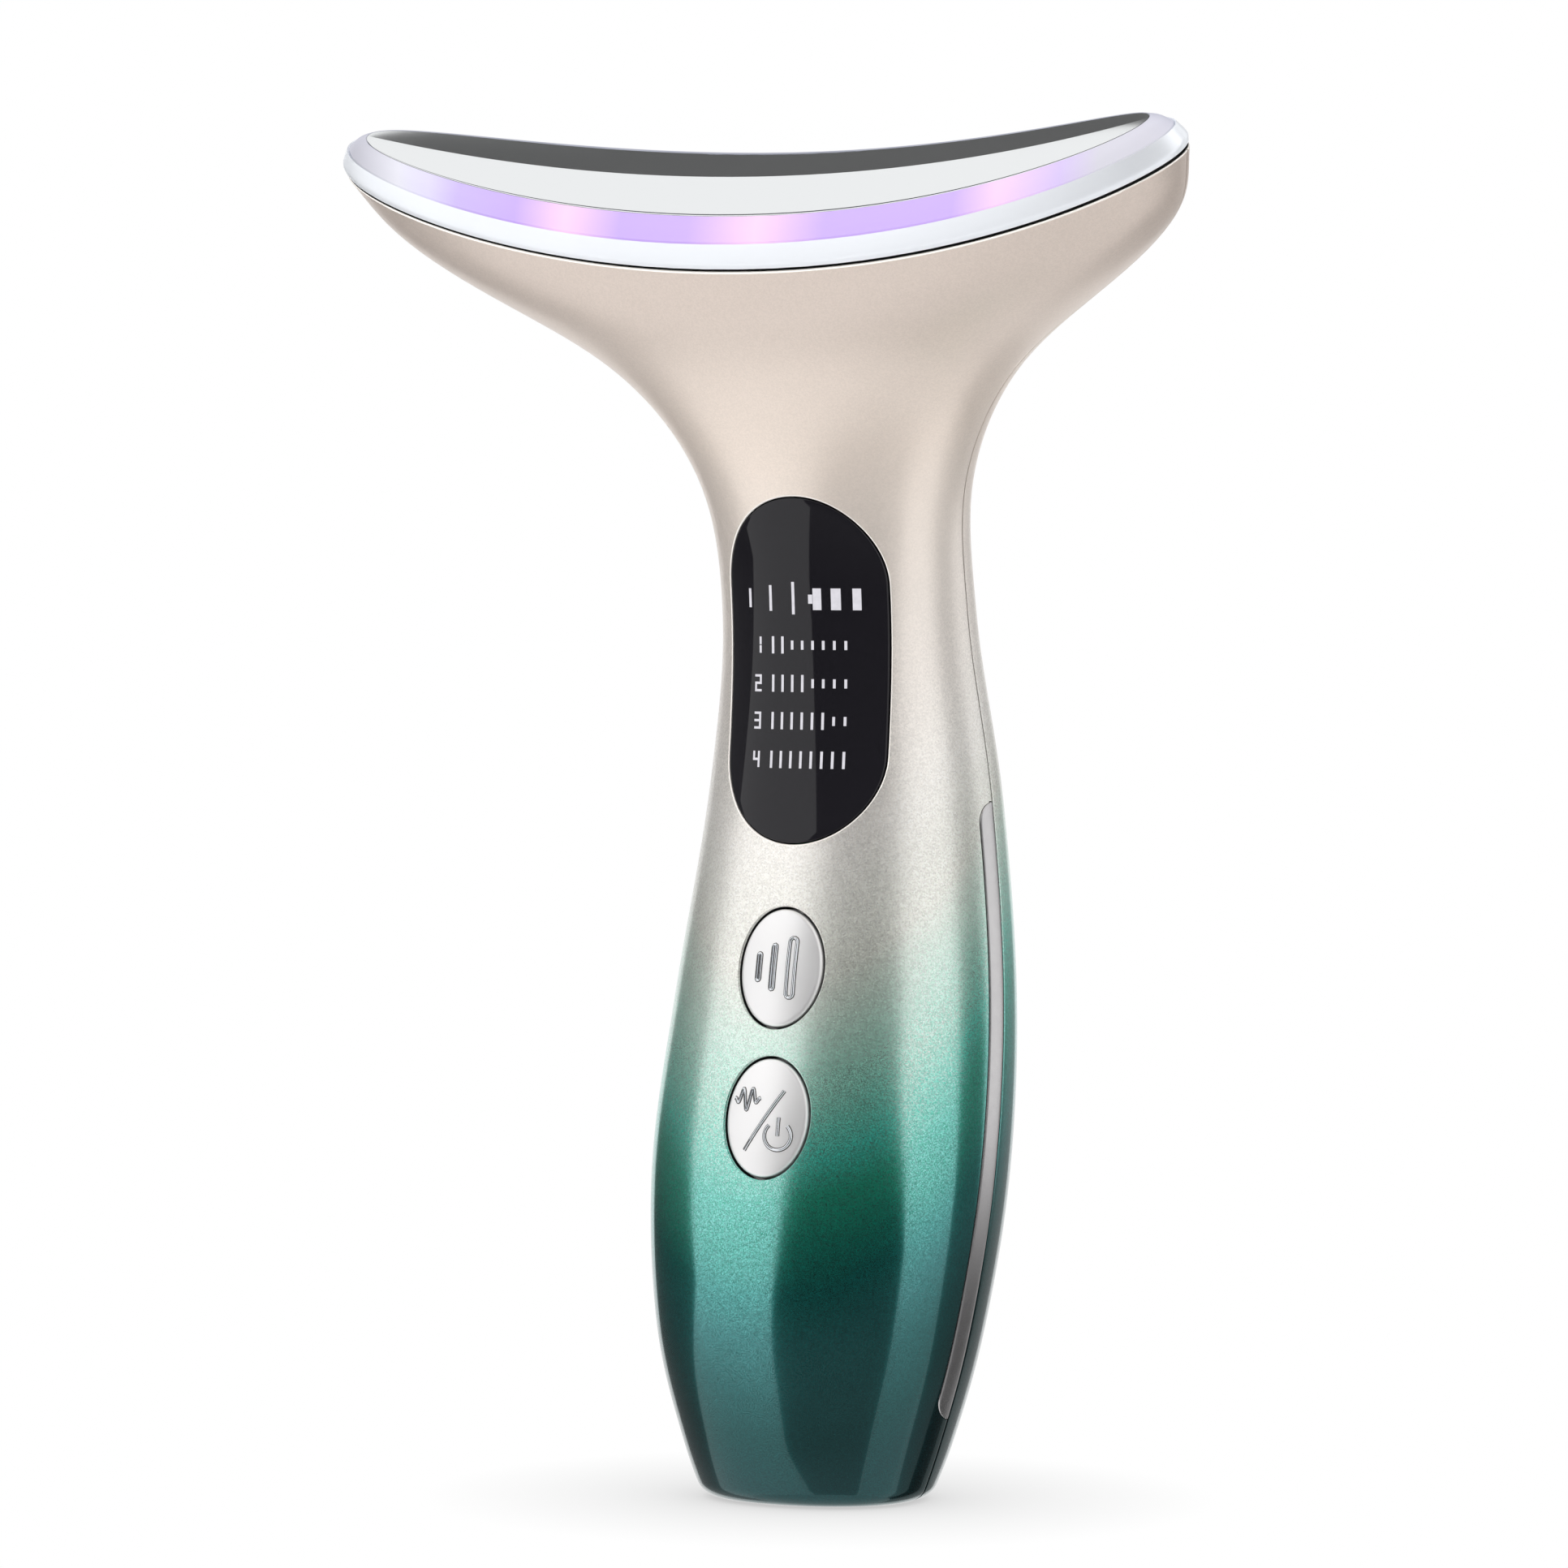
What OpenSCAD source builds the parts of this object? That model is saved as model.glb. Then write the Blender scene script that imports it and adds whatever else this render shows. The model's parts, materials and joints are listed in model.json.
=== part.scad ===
// Hand-held facial toning device: a T-shaped wand with a bowed contact head.
// Millimetres. The origin is the centre of the flat base, +Z runs up the handle to
// the head, -Y is the side with the display and the buttons, +X is its right hand.

/* [Handle] */
// Width of the base that the device stands on
base_w = 25.8; // [24:0.2:28]
// Depth of the base
base_d = 22; // [20:0.2:24]
// Width of the belly, the widest part of the handle
belly_w = 40.8; // [38:0.2:44]
// Depth of the belly
belly_d = 34; // [32:0.2:36]
// Height of the belly above the base
belly_z = 36; // [33:0.5:38]
// Width of the neck, the narrowest part of the handle
neck_w = 29; // [27:0.2:32]
// Depth of the neck
neck_d = 24.2; // [23:0.2:27]
// Height of the neck above the base
neck_z = 98; // [96:0.5:101]
// How far the grip's centre line lies behind the base
grip_back = 10; // [8.5:0.1:11.5]
// Radius of the edge round the base
base_edge_r = 1.5; // [0.8:0.1:1.8]
// Wall of the two moulded shells
wall = 1.8; // [1.4:0.1:2.2]
// Thickness of the floor in the base
floor_t = 1.8; // [1.4:0.1:2.4]
// Gap between the two shells along the parting line
part_gap = 0.2; // [0.1:0.05:0.4]

/* [Head] */
// Width of the head at the seam under the bright trim
head_w = 102.8; // [98:0.5:106]
// Depth of the head at the same seam
head_d = 20.4; // [19.6:0.2:22]
// Forward tilt of the head, in degrees
head_tilt = 33.4; // [30:0.2:36]
// Height of the middle of the head's seam
head_z = 141.5; // [140:0.5:144]
// How far the head's middle reaches forward of the base
head_reach = 10.6; // [9:0.2:12]
// How far the tips of the head rise above its middle
head_sag = 8.4; // [6:0.2:9.5]
// Height of the bright trim's outer face
trim_h = 3.2; // [2.8:0.1:3.8]
// Width of the glowing ring, square to its slope
ring_w = 3; // [2.6:0.1:3.4]
// Height of the contact plate's ridge above its edge
ridge_h = 1.6; // [1:0.1:2.2]
// Thickness of the contact plate at its edge
plate_t = 1.2; // [0.8:0.1:1.4]

/* [Display] */
// Width of the display window
window_w = 19.4; // [17:0.2:20]
// Height of the display window
window_h = 38.2; // [34:0.2:39]
// Height of the window's middle above the base
window_z = 92.3; // [91:0.1:94]
// Thickness of the window
window_t = 1.4; // [1:0.1:1.6]

/* [Buttons] */
// Width of a button
button_w = 10; // [9:0.1:10.6]
// Height of a button
button_h = 13.2; // [12:0.1:13.8]
// Height of the power button's middle above the base
power_z = 43.2; // [42:0.1:45]
// Distance between the two buttons' middles
button_pitch = 16.7; // [15.8:0.1:18]
// Gap round a button in the shell
button_gap = 0.25; // [0.2:0.05:0.4]
// Travel of a button when it is pressed
button_travel = 0.5; // [0.3:0.05:0.6]

/* [Side strips] */
// Height of the lower end of a side strip
strip_z = 9.5; // [8:0.5:12]
// Length of a side strip
strip_len = 68; // [56:1:70]
// Width of a side strip
strip_w = 4.2; // [3.4:0.2:4.8]

/* [Inside] */
// Lean of the main board, in degrees from upright
board_lean = 11.6; // [10.6:0.1:12.6]
// Width of the main board
board_w = 18; // [17.4:0.2:18.6]
// Length of the main board
board_len = 75; // [74:0.5:76]
// Thickness of the main board
board_t = 1; // [0.8:0.1:1.6]
// Width of the battery cell
battery_w = 20; // [16:0.5:20.5]
// Height of the battery cell
battery_h = 38; // [30:1:40]
// Thickness of the battery cell
battery_t = 8; // [6:0.2:8.4]
// Radius of the vibration motor
motor_r = 3; // [2.5:0.1:3.3]
// Length of the vibration motor
motor_len = 11; // [9:0.5:13]
// Radius of the motor's shaft
shaft_r = 0.5; // [0.4:0.05:0.7]
// Height of the tact switches under the buttons
switch_h = 1.6; // [1.4:0.1:1.8]

/* [Hidden] */
$fn = 48;

// ---- Colours ----
champagne = [0.85, 0.79, 0.74];
teal = [0.12, 0.42, 0.38];
bright = [0.86, 0.87, 0.88];
glow = [0.83, 0.73, 0.97];
gloss_black = [0.06, 0.06, 0.07];
board_green = [0.1, 0.36, 0.22];
moulded_white = [0.9, 0.9, 0.88];
moulded_black = [0.09, 0.09, 0.1];
tin = [0.74, 0.75, 0.76];
foam_grey = [0.3, 0.3, 0.32];

// ---- Small clearances between seated pieces ----
seat = 0.1;
slip = 0.2;
bond = 0.05;

// ---- The body as a loft ----
// A section is [height, centre depth, tilt, half width, depth in front, depth behind].
function section(z, y, tilt, w, front, rear) = [z, y, tilt, w / 2, front, rear];
function mix(a, b, t) = a + (b - a) * t;

// The base, the belly, the neck and the head's seam are driven; the sections between
// them are set by shares, which place each one and say how full it is.
STATIONS = [
    section(0, 0, 0, base_w, base_d / 2, base_d / 2),
    section(belly_z * 0.14, 0.1, -2, mix(base_w, belly_w, 0.25),
        mix(base_d, belly_d, 0.38) / 2, mix(base_d, belly_d, 0.42) / 2),
    section(belly_z * 0.5, grip_back * 0.05, -4, mix(base_w, belly_w, 0.74),
        mix(base_d, belly_d, 0.75) / 2, mix(base_d, belly_d, 0.8) / 2),
    section(belly_z, grip_back * 0.32, -4.5, belly_w, belly_d / 2, belly_d / 2),
    section(mix(belly_z, neck_z, 0.32), grip_back * 0.75, -4.3, mix(belly_w, neck_w, 0.17),
        belly_d * 0.512, mix(belly_d, neck_d, 0.24) / 2),
    section(mix(belly_z, neck_z, 0.68), grip_back, -3.2, mix(belly_w, neck_w, 0.63),
        mix(belly_d, neck_d, 0.27) / 2, mix(belly_d, neck_d, 0.74) / 2),
    section(neck_z, grip_back * 0.83, -1, neck_w, neck_d * 0.55, neck_d * 0.45),
    section(mix(neck_z, head_z, 0.37), grip_back * 0.42, 3, mix(neck_w, head_w, 0.05),
        neck_d * 0.47, neck_d * 0.415),
    section(mix(neck_z, head_z, 0.64), mix(grip_back, -head_reach, 0.53), head_tilt * 0.24,
        mix(neck_w, head_w, 0.32), head_d * 0.52, head_d * 0.5),
    section(mix(neck_z, head_z, 0.83), mix(grip_back, -head_reach, 0.8), head_tilt * 0.57,
        mix(neck_w, head_w, 0.875), head_d * 0.51, head_d * 0.52),
    section(head_z, -head_reach, head_tilt, head_w, head_d / 2, head_d / 2)
];
LAST = len(STATIONS) - 1;

// Uniform Catmull-Rom spline through the sections, with its ends carried on straight.
function station(i) = i < 0 ? 2 * STATIONS[0] - STATIONS[1]
    : i > LAST ? 2 * STATIONS[LAST] - STATIONS[LAST - 1] : STATIONS[i];
function spline(a, b, c, d, t) = 0.5 * (2 * b + (c - a) * t
    + (2 * a - 5 * b + 4 * c - d) * pow(t, 2) + (3 * b - a - 3 * c + d) * pow(t, 3));
SPAN_STEPS = 4;
SMOOTH = concat([for (i = [0 : LAST - 1], k = [0 : SPAN_STEPS - 1])
    spline(station(i - 1), station(i), station(i + 1), station(i + 2), k / SPAN_STEPS)],
    [STATIONS[LAST]]);

// The section at any height.
function row_index(z, i = 0) = i >= len(SMOOTH) - 2 || SMOOTH[i + 1][0] > z ? i
    : row_index(z, i + 1);
function row_at(z) = let (i = row_index(z), a = SMOOTH[i], b = SMOOTH[i + 1])
    mix(a, b, (z - a[0]) / (b[0] - a[0]));

// The rows that the shells are built on: a rounded edge round the base, then the loft.
EDGE_ROWS = [0, 0.2, 0.5, 1];
function edge_inset(z) = z >= base_edge_r ? 0
    : base_edge_r - sqrt(pow(base_edge_r, 2) - pow(base_edge_r - z, 2));
HEIGHTS = concat([for (k = EDGE_ROWS) k * base_edge_r],
    [for (s = SMOOTH) if (s[0] > base_edge_r * 1.5 + 0.5) s[0]]);
TOP_ROW = len(HEIGHTS) - 1;

// Superellipse sections: a little squarer than an ellipse.
squareness = 2.14;
function bent(c) = sign(c) * pow(abs(c), 2 / squareness);
function across(s, th, inset = 0) = (s[3] - inset) * bent(sin(th));
function along(s, th, inset = 0) = -((cos(th) > 0 ? s[4] : s[5]) - inset) * bent(cos(th));

// The tips of the head sweep up, and the sweep fades out in the neck.
bow = head_sag / pow(head_w / 2, 2);
fade_low = neck_z * 0.97;
fade_high = mix(neck_z, head_z, 0.88);
function fade(t) = t <= 0 ? 0 : t >= 1 ? 1 : t * t * (3 - 2 * t);
function sweep(z) = bow * fade((z - fade_low) / (fade_high - fade_low));
function placed(s, x, v) = let (w = sweep(s[0]) * x * x)
    [x, s[1] + v * cos(s[2]) - w * sin(s[2]), s[0] + v * sin(s[2]) + w * cos(s[2])];

// The wall keeps its thickness where the side leans: its inset grows with the lean.
lean_span = 2;
function lean_of(z, k) = let (a = row_at(max(z - lean_span, 0)),
    b = row_at(min(z + lean_span, head_z))) (b[k] - a[k]) / (b[0] - a[0]);
max_inset = 2.2;
function wall_inset(z, k) = wall * min(max_inset, sqrt(1 + pow(lean_of(z, k), 2)));

// Height of the front skin's row that passes over a point of the front face.
function front_v(s, x) = -s[4] * pow(max(0, 1 - pow(abs(x) / s[3], squareness)),
    1 / squareness);
function front_row(x, z) = let (a = row_at(z), b = row_at(z - front_v(a, x) * sin(a[2])))
    row_at(z - front_v(b, x) * sin(b[2]));
function front_y(x, z) = let (s = front_row(x, z)) s[1] + front_v(s, x) * cos(s[2]);
function rear_v(s, x) = s[5] * pow(max(0, 1 - pow(abs(x) / s[3], squareness)),
    1 / squareness);
function rear_y(x, z) = let (s = row_at(z)) s[1] + rear_v(s, x) * cos(s[2]);

// ---- Mesh helpers ----
function flat(list) = [for (row = list, p = row) p];
function wall_faces(rows, cols, closed) = [for (i = [0 : rows - (closed ? 1 : 2)],
    j = [0 : cols - 1]) let (a = i * cols + j, b = i * cols + (j + 1) % cols,
    c = ((i + 1) % rows) * cols + (j + 1) % cols, d = ((i + 1) % rows) * cols + j)
    each [[a, b, c], [a, c, d]]];
function fan(first, count, flip) = [for (j = [1 : count - 2])
    flip ? [first, first + j + 1, first + j] : [first, first + j, first + j + 1]];

function turned(faces) = [for (f = faces) [f[2], f[1], f[0]]];
function reversed(loop) = [for (k = [len(loop) - 1 : -1 : 0]) loop[k]];

// Solid through a list of closed loops with the same count of points, capped by fans.
// The loops run clockwise as seen from the first loop's outer side.
module loft(loops) {
    n = len(loops[0]);
    polyhedron(points = flat(loops), faces = concat(wall_faces(len(loops), n, false),
        fan(0, n, true), fan((len(loops) - 1) * n, n, false)), convexity = 6);
}

// Ring through a list of closed loops, the last joined to the first.
module loft_ring(loops) {
    polyhedron(points = flat(loops), faces = wall_faces(len(loops), len(loops[0]), true),
        convexity = 6);
}

// ---- Shells ----
ARC_STEPS = 18;
function skin_point(s, th, half, inset_x, inset_v) = let (v = along(s, th, inset_v))
    placed(s, across(s, th, inset_x), half < 0 ? min(v, -part_gap / 2)
        : max(v, part_gap / 2));
function outer_point(k, th, half) = let (z = HEIGHTS[k], e = edge_inset(z))
    skin_point(row_at(z), th, half, e, e);
function inner_point(k, th, half) = let (z = max(HEIGHTS[k], floor_t + 0.1 * k))
    skin_point(row_at(z), th, half, wall_inset(z, 3), wall_inset(z, half < 0 ? 4 : 5));
function arc(half) = [for (j = [0 : ARC_STEPS])
    (half < 0 ? -90 : 90) + 180 * j / ARC_STEPS];

// One half of the casing, with its floor: each row is a C of outer then inner points.
module half_shell(half) {
    n = ARC_STEPS + 1;
    c = 2 * n;
    th = arc(half);
    rows = [for (k = [0 : TOP_ROW]) concat([for (a = th) outer_point(k, a, half)],
        [for (j = [ARC_STEPS : -1 : 0]) inner_point(k, th[j], half)])];
    rim = [for (j = [0 : ARC_STEPS - 1]) let (o = TOP_ROW * c, a = o + j, b = a + 1,
        d = o + c - 1 - j, e = d - 1) each [[a, b, e], [a, e, d]]];
    base = concat(fan(0, n, true), fan(n, n, true), [[0, c - 1, n], [0, n, n - 1]]);
    polyhedron(points = flat(rows), faces = turned(concat(
        wall_faces(TOP_ROW + 1, c, false), rim, base)), convexity = 8);
}

// ---- The leaning frame of the main board: -Y is towards the buttons ----
board_depth = 7;
board_y = front_y(0, power_z) + board_depth * cos(board_lean);
board_z = power_z - board_depth * sin(board_lean);
module board_frame() translate([0, board_y, board_z]) rotate([-board_lean, 0, 0])
    children();
function board_point(x, y, z) = [x, board_y + y * cos(board_lean) + z * sin(board_lean),
    board_z - y * sin(board_lean) + z * cos(board_lean)];
// Depth of the outer skin in front of the board, at a point of the board.
function skin_depth(x, z, y = -board_depth, n = 3) = n == 0 ? y : let (
    p = board_point(x, y, z), gap = front_y(x, p[2]) - p[1])
    skin_depth(x, z, y + gap * cos(board_lean), n - 1);
// Where the window's middle falls on the board.
window_board_z = (window_z - board_z) / cos(board_lean);

// The upper screws pass the window's round corners, and the board hangs from them.
window_gap = 0.15;
boss_r = 1.5;
boss_edge = 1.8;
boss_x = board_w / 2 - 2;
corner_rise = sqrt(pow(window_w / 2 + window_gap + slip + boss_r, 2) - pow(boss_x, 2));
corner_z = window_board_z + ((window_h - window_w) / 2 + corner_rise) / cos(board_lean);
upper_boss_z = corner_z + (skin_depth(boss_x, corner_z) + wall) * tan(board_lean);
board_top = upper_boss_z + boss_edge;
board_low = board_top - board_len;
BOSS_Z = [button_pitch / 2, upper_boss_z];

// ---- The tilted frame of the head: X along it, Y to the rear, Z out of the plate ----
module head_frame() translate([0, -head_reach, head_z]) rotate([head_tilt, 0, 0])
    children();
function head_point(x, v, h) = let (w = bow * x * x + h)
    [x, v * cos(head_tilt) - w * sin(head_tilt) - head_reach,
    v * sin(head_tilt) + w * cos(head_tilt) + head_z];
OVAL_STEPS = 60;
function oval_point(a, b, h, th) = head_point(a * bent(sin(th)), -b * bent(cos(th)), h);

// Ring whose profile is a closed list of [half width, half depth, height].
module oval_ring(profile) loft_ring([for (j = [0 : OVAL_STEPS - 1])
    [for (p = profile) oval_point(p[0], p[1], p[2], -90 + 360 * j / OVAL_STEPS)]]);

// Solid oval from a list of [half width, half depth, height], bottom first. Its caps
// are strips from front to rear, so that they follow the bow.
module oval_solid(profile) {
    n = OVAL_STEPS;
    top = (len(profile) - 1) * n;
    loops = [for (p = profile) [for (j = [0 : n - 1])
        oval_point(p[0], p[1], p[2], -90 + 360 * j / n)]];
    caps = [for (j = [0 : n / 2 - 1]) let (a = j, b = j + 1, c = n - j - 1,
        d = (n - j) % n) each [[a, c, b], [top + a, top + b, top + c],
        if (j > 0) [a, d, c], if (j > 0) [top + a, top + c, top + d]]];
    polyhedron(points = flat(loops), faces = turned(concat(
        wall_faces(len(loops), n, false), [for (f = caps)
        if (f[0] != f[1] && f[1] != f[2] && f[0] != f[2]) f])), convexity = 6);
}

// ---- Sizes of the head's rings, as half width, half depth and height ----
seam_a = head_w / 2;
seam_b = head_d / 2;
trim_wall = 1.1;
trim_taper = 1.1;
ring_slope = 38;
ring_a = seam_a - trim_taper;
ring_b = seam_b - trim_taper;
ring_run = ring_w * cos(ring_slope);
ring_rise = ring_w * sin(ring_slope);
plate_a = ring_a - ring_run;
plate_b = ring_b - ring_run;
plate_edge_h = trim_h + ring_rise;
trim_proud = 0.1;
trim_bevel = 0.35;
trim_land = 1;
ring_t = 1.5;
slab_h = 1.4;
slab_gap = 0.15;
pedestal_in = 2.6;
heater_t = 0.8;
led_board_t = 0.6;
led_h = 0.6;

// Bright outer trim: it stands on the shells' rim and holds the glowing ring.
module head_trim() {
    foot = slip;
    // Each entry is an offset from the seam's oval and a height.
    profile = [[trim_proud - trim_bevel, foot], [trim_proud, foot + trim_bevel],
        [trim_proud * 1.5, trim_h * 0.4], [trim_proud - trim_taper * 0.45, trim_h * 0.75],
        [seat - trim_taper, trim_h], [seat - trim_taper, trim_h - trim_land],
        [-trim_wall, slab_h + 0.5], [-trim_wall, foot]];
    color(bright) oval_ring([for (p = profile) [seam_a + p[0], seam_b + p[0], p[1]]]);
}

// Frosted ring that carries the light round the contact plate.
module light_ring() {
    foot = slab_h + seat;
    // Each entry is an offset from the ring's outer oval and a height.
    profile = [[0, trim_h], [0.1 - ring_run / 2, (trim_h + plate_edge_h) / 2 + 0.15],
        [-ring_run, plate_edge_h], [-ring_run, plate_edge_h - ring_t],
        [-1.1, trim_h - trim_land / 2], [-0.9, foot], [-seat, foot],
        [0, trim_h - trim_land]];
    color(glow) oval_ring([for (p = profile) [ring_a + p[0], ring_b + p[0], p[1]]]);
}

// Metal contact plate, tip to tip, with a soft ridge along its middle.
// The ridge lies a little forward of the middle, and its sections end just short of the
// tips, where they would shrink to nothing.
PLATE_STEPS = 36;
LAST_SECTION = 88;
ridge_v = -1;
module contact_plate() {
    a = plate_a - seat;
    b = plate_b - seat;
    low = plate_edge_h - plate_t;
    loops = [for (k = [0 : PLATE_STEPS]) let (
        x = a * sin(LAST_SECTION * (2 * k / PLATE_STEPS - 1)),
        c = b * pow(1 - pow(abs(x) / a, squareness), 1 / squareness),
        t = 1 - pow(x / a, 2), rv = ridge_v * t, rh = plate_edge_h + ridge_h * t)
        [head_point(x, -c, low), head_point(x, -c, plate_edge_h),
        head_point(x, mix(-c, rv, 0.5), mix(plate_edge_h, rh, 0.62)),
        head_point(x, rv, rh), head_point(x, mix(rv, c, 0.5), mix(rh, plate_edge_h, 0.42)),
        head_point(x, c, plate_edge_h), head_point(x, c, low)]];
    color(bright) loft(loops);
}

// Thin heating film bonded under the plate.
heater_top = plate_edge_h - plate_t - bond;
heater_in = 1;
module heater_pad() {
    a = plate_a - pedestal_in - heater_in;
    b = plate_b - pedestal_in - heater_in / 2;
    color([0.72, 0.45, 0.2]) oval_solid([[a, b, heater_top - heater_t],
        [a, b, heater_top]]);
}

// White frame that closes the head: a slab on the rim with a raised bed for the heater.
module plate_carrier() {
    a = seam_a - trim_wall - slab_gap;
    b = seam_b - trim_wall - slab_gap;
    bed = heater_top - heater_t - bond;
    color(moulded_white) oval_solid([[a, b, seat], [a, b, slab_h],
        [plate_a - pedestal_in, plate_b - pedestal_in, slab_h],
        [plate_a - pedestal_in, plate_b - pedestal_in, bed]]);
}

// Flexible LED board lying in the channel round the bed.
led_track = 1.25;
led_side = 1.4;
module led_board() {
    low = slab_h + seat;
    high = low + led_board_t;
    in_a = plate_a - pedestal_in + slip;
    in_b = plate_b - pedestal_in + slip;
    out_a = ring_a - trim_wall - slip;
    out_b = ring_b - trim_wall - slip;
    color(board_green) oval_ring([[out_a, out_b, low], [out_a, out_b, high],
        [in_a, in_b, high], [in_a, in_b, low]]);
}

// LEDs in the channel, in pairs across the head, a little to its right.
led_pitch = 26;
led_offset = 4;
module ring_leds() {
    a = plate_a - led_track;
    b = plate_b - led_track;
    h = slab_h + seat + led_board_t;
    color([0.95, 0.93, 0.8]) for (k = [-1 : 1], side = [-1, 1]) {
        x = led_offset + k * led_pitch;
        v = side * b * pow(1 - pow(abs(x) / a, squareness), 1 / squareness);
        translate(head_point(x, v, h)) rotate([head_tilt, 0, 0])
            rotate([0, -atan(2 * bow * x), 0])
            translate([-led_side / 2, -led_side / 2, bond]) cube([led_side, led_side, led_h]);
    }
}

// ---- Vibration motor under the carrier ----
motor_room = 2.2;
motor_w = -(motor_r + motor_room);
weight_r = motor_r - 0.3;
weight_len = 4;
weight_gap = 0.8;
shaft_out = weight_len + weight_gap + 0.4;
shaft_in = 4.6;
motor_x0 = -(motor_len + shaft_out) / 2;
motor_x1 = motor_x0 + motor_len;
shaft_fit = 0.05;
cradle_wall = 1.4;
module motor_axis() head_frame() translate([0, 0, motor_w]) rotate([0, 90, 0]) children();

module motor_cradle() {
    side = motor_r + cradle_wall;
    lap = motor_r * 0.4;
    color(moulded_white) difference() {
        head_frame() translate([motor_x0 + 1, -side, motor_w - lap])
            cube([motor_len - 2, 2 * side, lap - motor_w - bond]);
        motor_axis() translate([0, 0, motor_x0 - 1]) cylinder(h = motor_len + 2,
            r = motor_r + bond);
    }
}

module motor_can() {
    color(tin) difference() {
        motor_axis() translate([0, 0, motor_x0]) cylinder(h = motor_len, r = motor_r);
        motor_axis() translate([0, 0, motor_x1 - shaft_in - 0.4])
            cylinder(h = shaft_in + 1.4, r = shaft_r + shaft_fit);
    }
}

module motor_shaft() {
    color(tin) motor_axis() translate([0, 0, motor_x1 - shaft_in])
        cylinder(h = shaft_in + shaft_out, r = shaft_r);
}

// Half-round weight on the shaft: it hangs below the shaft at rest.
hub_wall = 0.5;
module eccentric_weight() {
    color([0.62, 0.55, 0.35]) translate(motor_point(motor_x1 + weight_gap))
        rotate([0, 90, 0]) difference() {
            cylinder(h = weight_len, r = weight_r);
            translate([-2 * weight_r - shaft_r - hub_wall, -weight_r - 1, -1])
                cube([2 * weight_r, 2 * weight_r + 2, weight_len + 2]);
            translate([0, 0, -1]) cylinder(h = weight_len + 2, r = shaft_r + 0.01);
        }
}
// A point on the motor's axis, in the part's own axes.
function motor_point(x) = [x, -motor_w * sin(head_tilt) - head_reach,
    motor_w * cos(head_tilt) + head_z];

// ---- Display ----
module stadium(w, h) {
    square([w, h - w], center = true);
    for (s = [-1, 1]) translate([0, s * (h - w) / 2]) circle(d = w);
}
// The same outline as points: two round ends and two straight sides. It starts at the
// top, so that a cap fanned from there has no triangle along a straight side.
END_STEPS = 12;
SIDE_STEPS = 4;
function stadium_loop(w, h) = let (loop = [for (end = [1, -1]) each concat(
    [for (k = [0 : END_STEPS]) let (a = 180 * k / END_STEPS)
        end * [w / 2 * cos(a), w / 2 * sin(a) + (h - w) / 2]],
    [for (k = [1 : SIDE_STEPS - 1]) end * [-w / 2, (h - w) * (0.5 - k / SIDE_STEPS)]])])
    [for (k = [0 : len(loop) - 1]) loop[(k + END_STEPS / 2) % len(loop)]];
// Loop round the window at a share of its size and an inset from the skin.
function window_loop(share, inset) = [for (p = share * stadium_loop(window_w, window_h))
    [p[0], front_y(p[0], p[1] + window_z) + inset, p[1] + window_z]];

// Dark window, flush with the curved skin of the front shell.
WINDOW_SHARES = [0.05, 0.35, 0.6, 0.85, 1];
module display_window() {
    color(gloss_black) loft(concat([for (s = WINDOW_SHARES) window_loop(s, bond)],
        [for (s = reversed(WINDOW_SHARES)) window_loop(s, window_t)]));
}

// Black light box between the window and the board, with bars that part its rows.
frame_in = 1.8;
frame_wall = 1.2;
bar_t = 1;
row_pitch = 5;
bar_in = 0.7;
function frame_loop(w, h, front) = [for (p = stadium_loop(w, h)) let (z = p[1] + window_z)
    [p[0], front ? front_y(p[0], z) + window_t + slip : board_face_y(z) - seat, z]];
// Where the board's front face lies at a given height.
function board_face_y(z) = board_y + (z - board_z) * tan(board_lean);
module display_frame() {
    w = window_w - 2 * frame_in;
    h = window_h - 2 * frame_in;
    in_w = w - 2 * frame_wall;
    in_h = h - 2 * frame_wall;
    color(moulded_black) {
        loft_ring([frame_loop(w, h, true), frame_loop(w, h, false),
            frame_loop(in_w, in_h, false), frame_loop(in_w, in_h, true)]);
        for (k = [-1.5 : 1.5]) {
            z = window_z + k * row_pitch;
            reach = (w - frame_wall) / 2;
            back = board_face_y(z) - bar_in;
            translate([0, 0, z - bar_t / 2]) linear_extrude(bar_t)
                polygon([[reach, back], [-reach, back], for (t = [-1 : 0.25 : 1])
                [t * reach, front_y(t * reach, z) + window_t + 2 * slip]]);
        }
    }
}

// Lamps of the display on the board's front face, two to a row.
LAMP = [1.6, 0.6, 0.8];
lamp_x = 3;
module display_leds() {
    color([0.95, 0.95, 0.9]) board_frame() for (row = [-2 : 2], side = [-1, 1])
        translate([side * lamp_x - LAMP[0] / 2, -LAMP[1] - bond,
            window_board_z + (row * row_pitch - LAMP[2] / 2) / cos(board_lean)]) cube(LAMP);
}

// ---- Buttons ----
cap_flange = 1;
flange_t = 0.8;
stop_gap = 0.2;
OVAL_CAP_STEPS = 32;
stem_r = 1.6;
plunger_out = 0.9;
plunger_top = switch_h + plunger_out;
function oval(w, h, k) = [w / 2 * cos(k * 360 / OVAL_CAP_STEPS),
    h / 2 * sin(k * 360 / OVAL_CAP_STEPS)];
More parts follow.
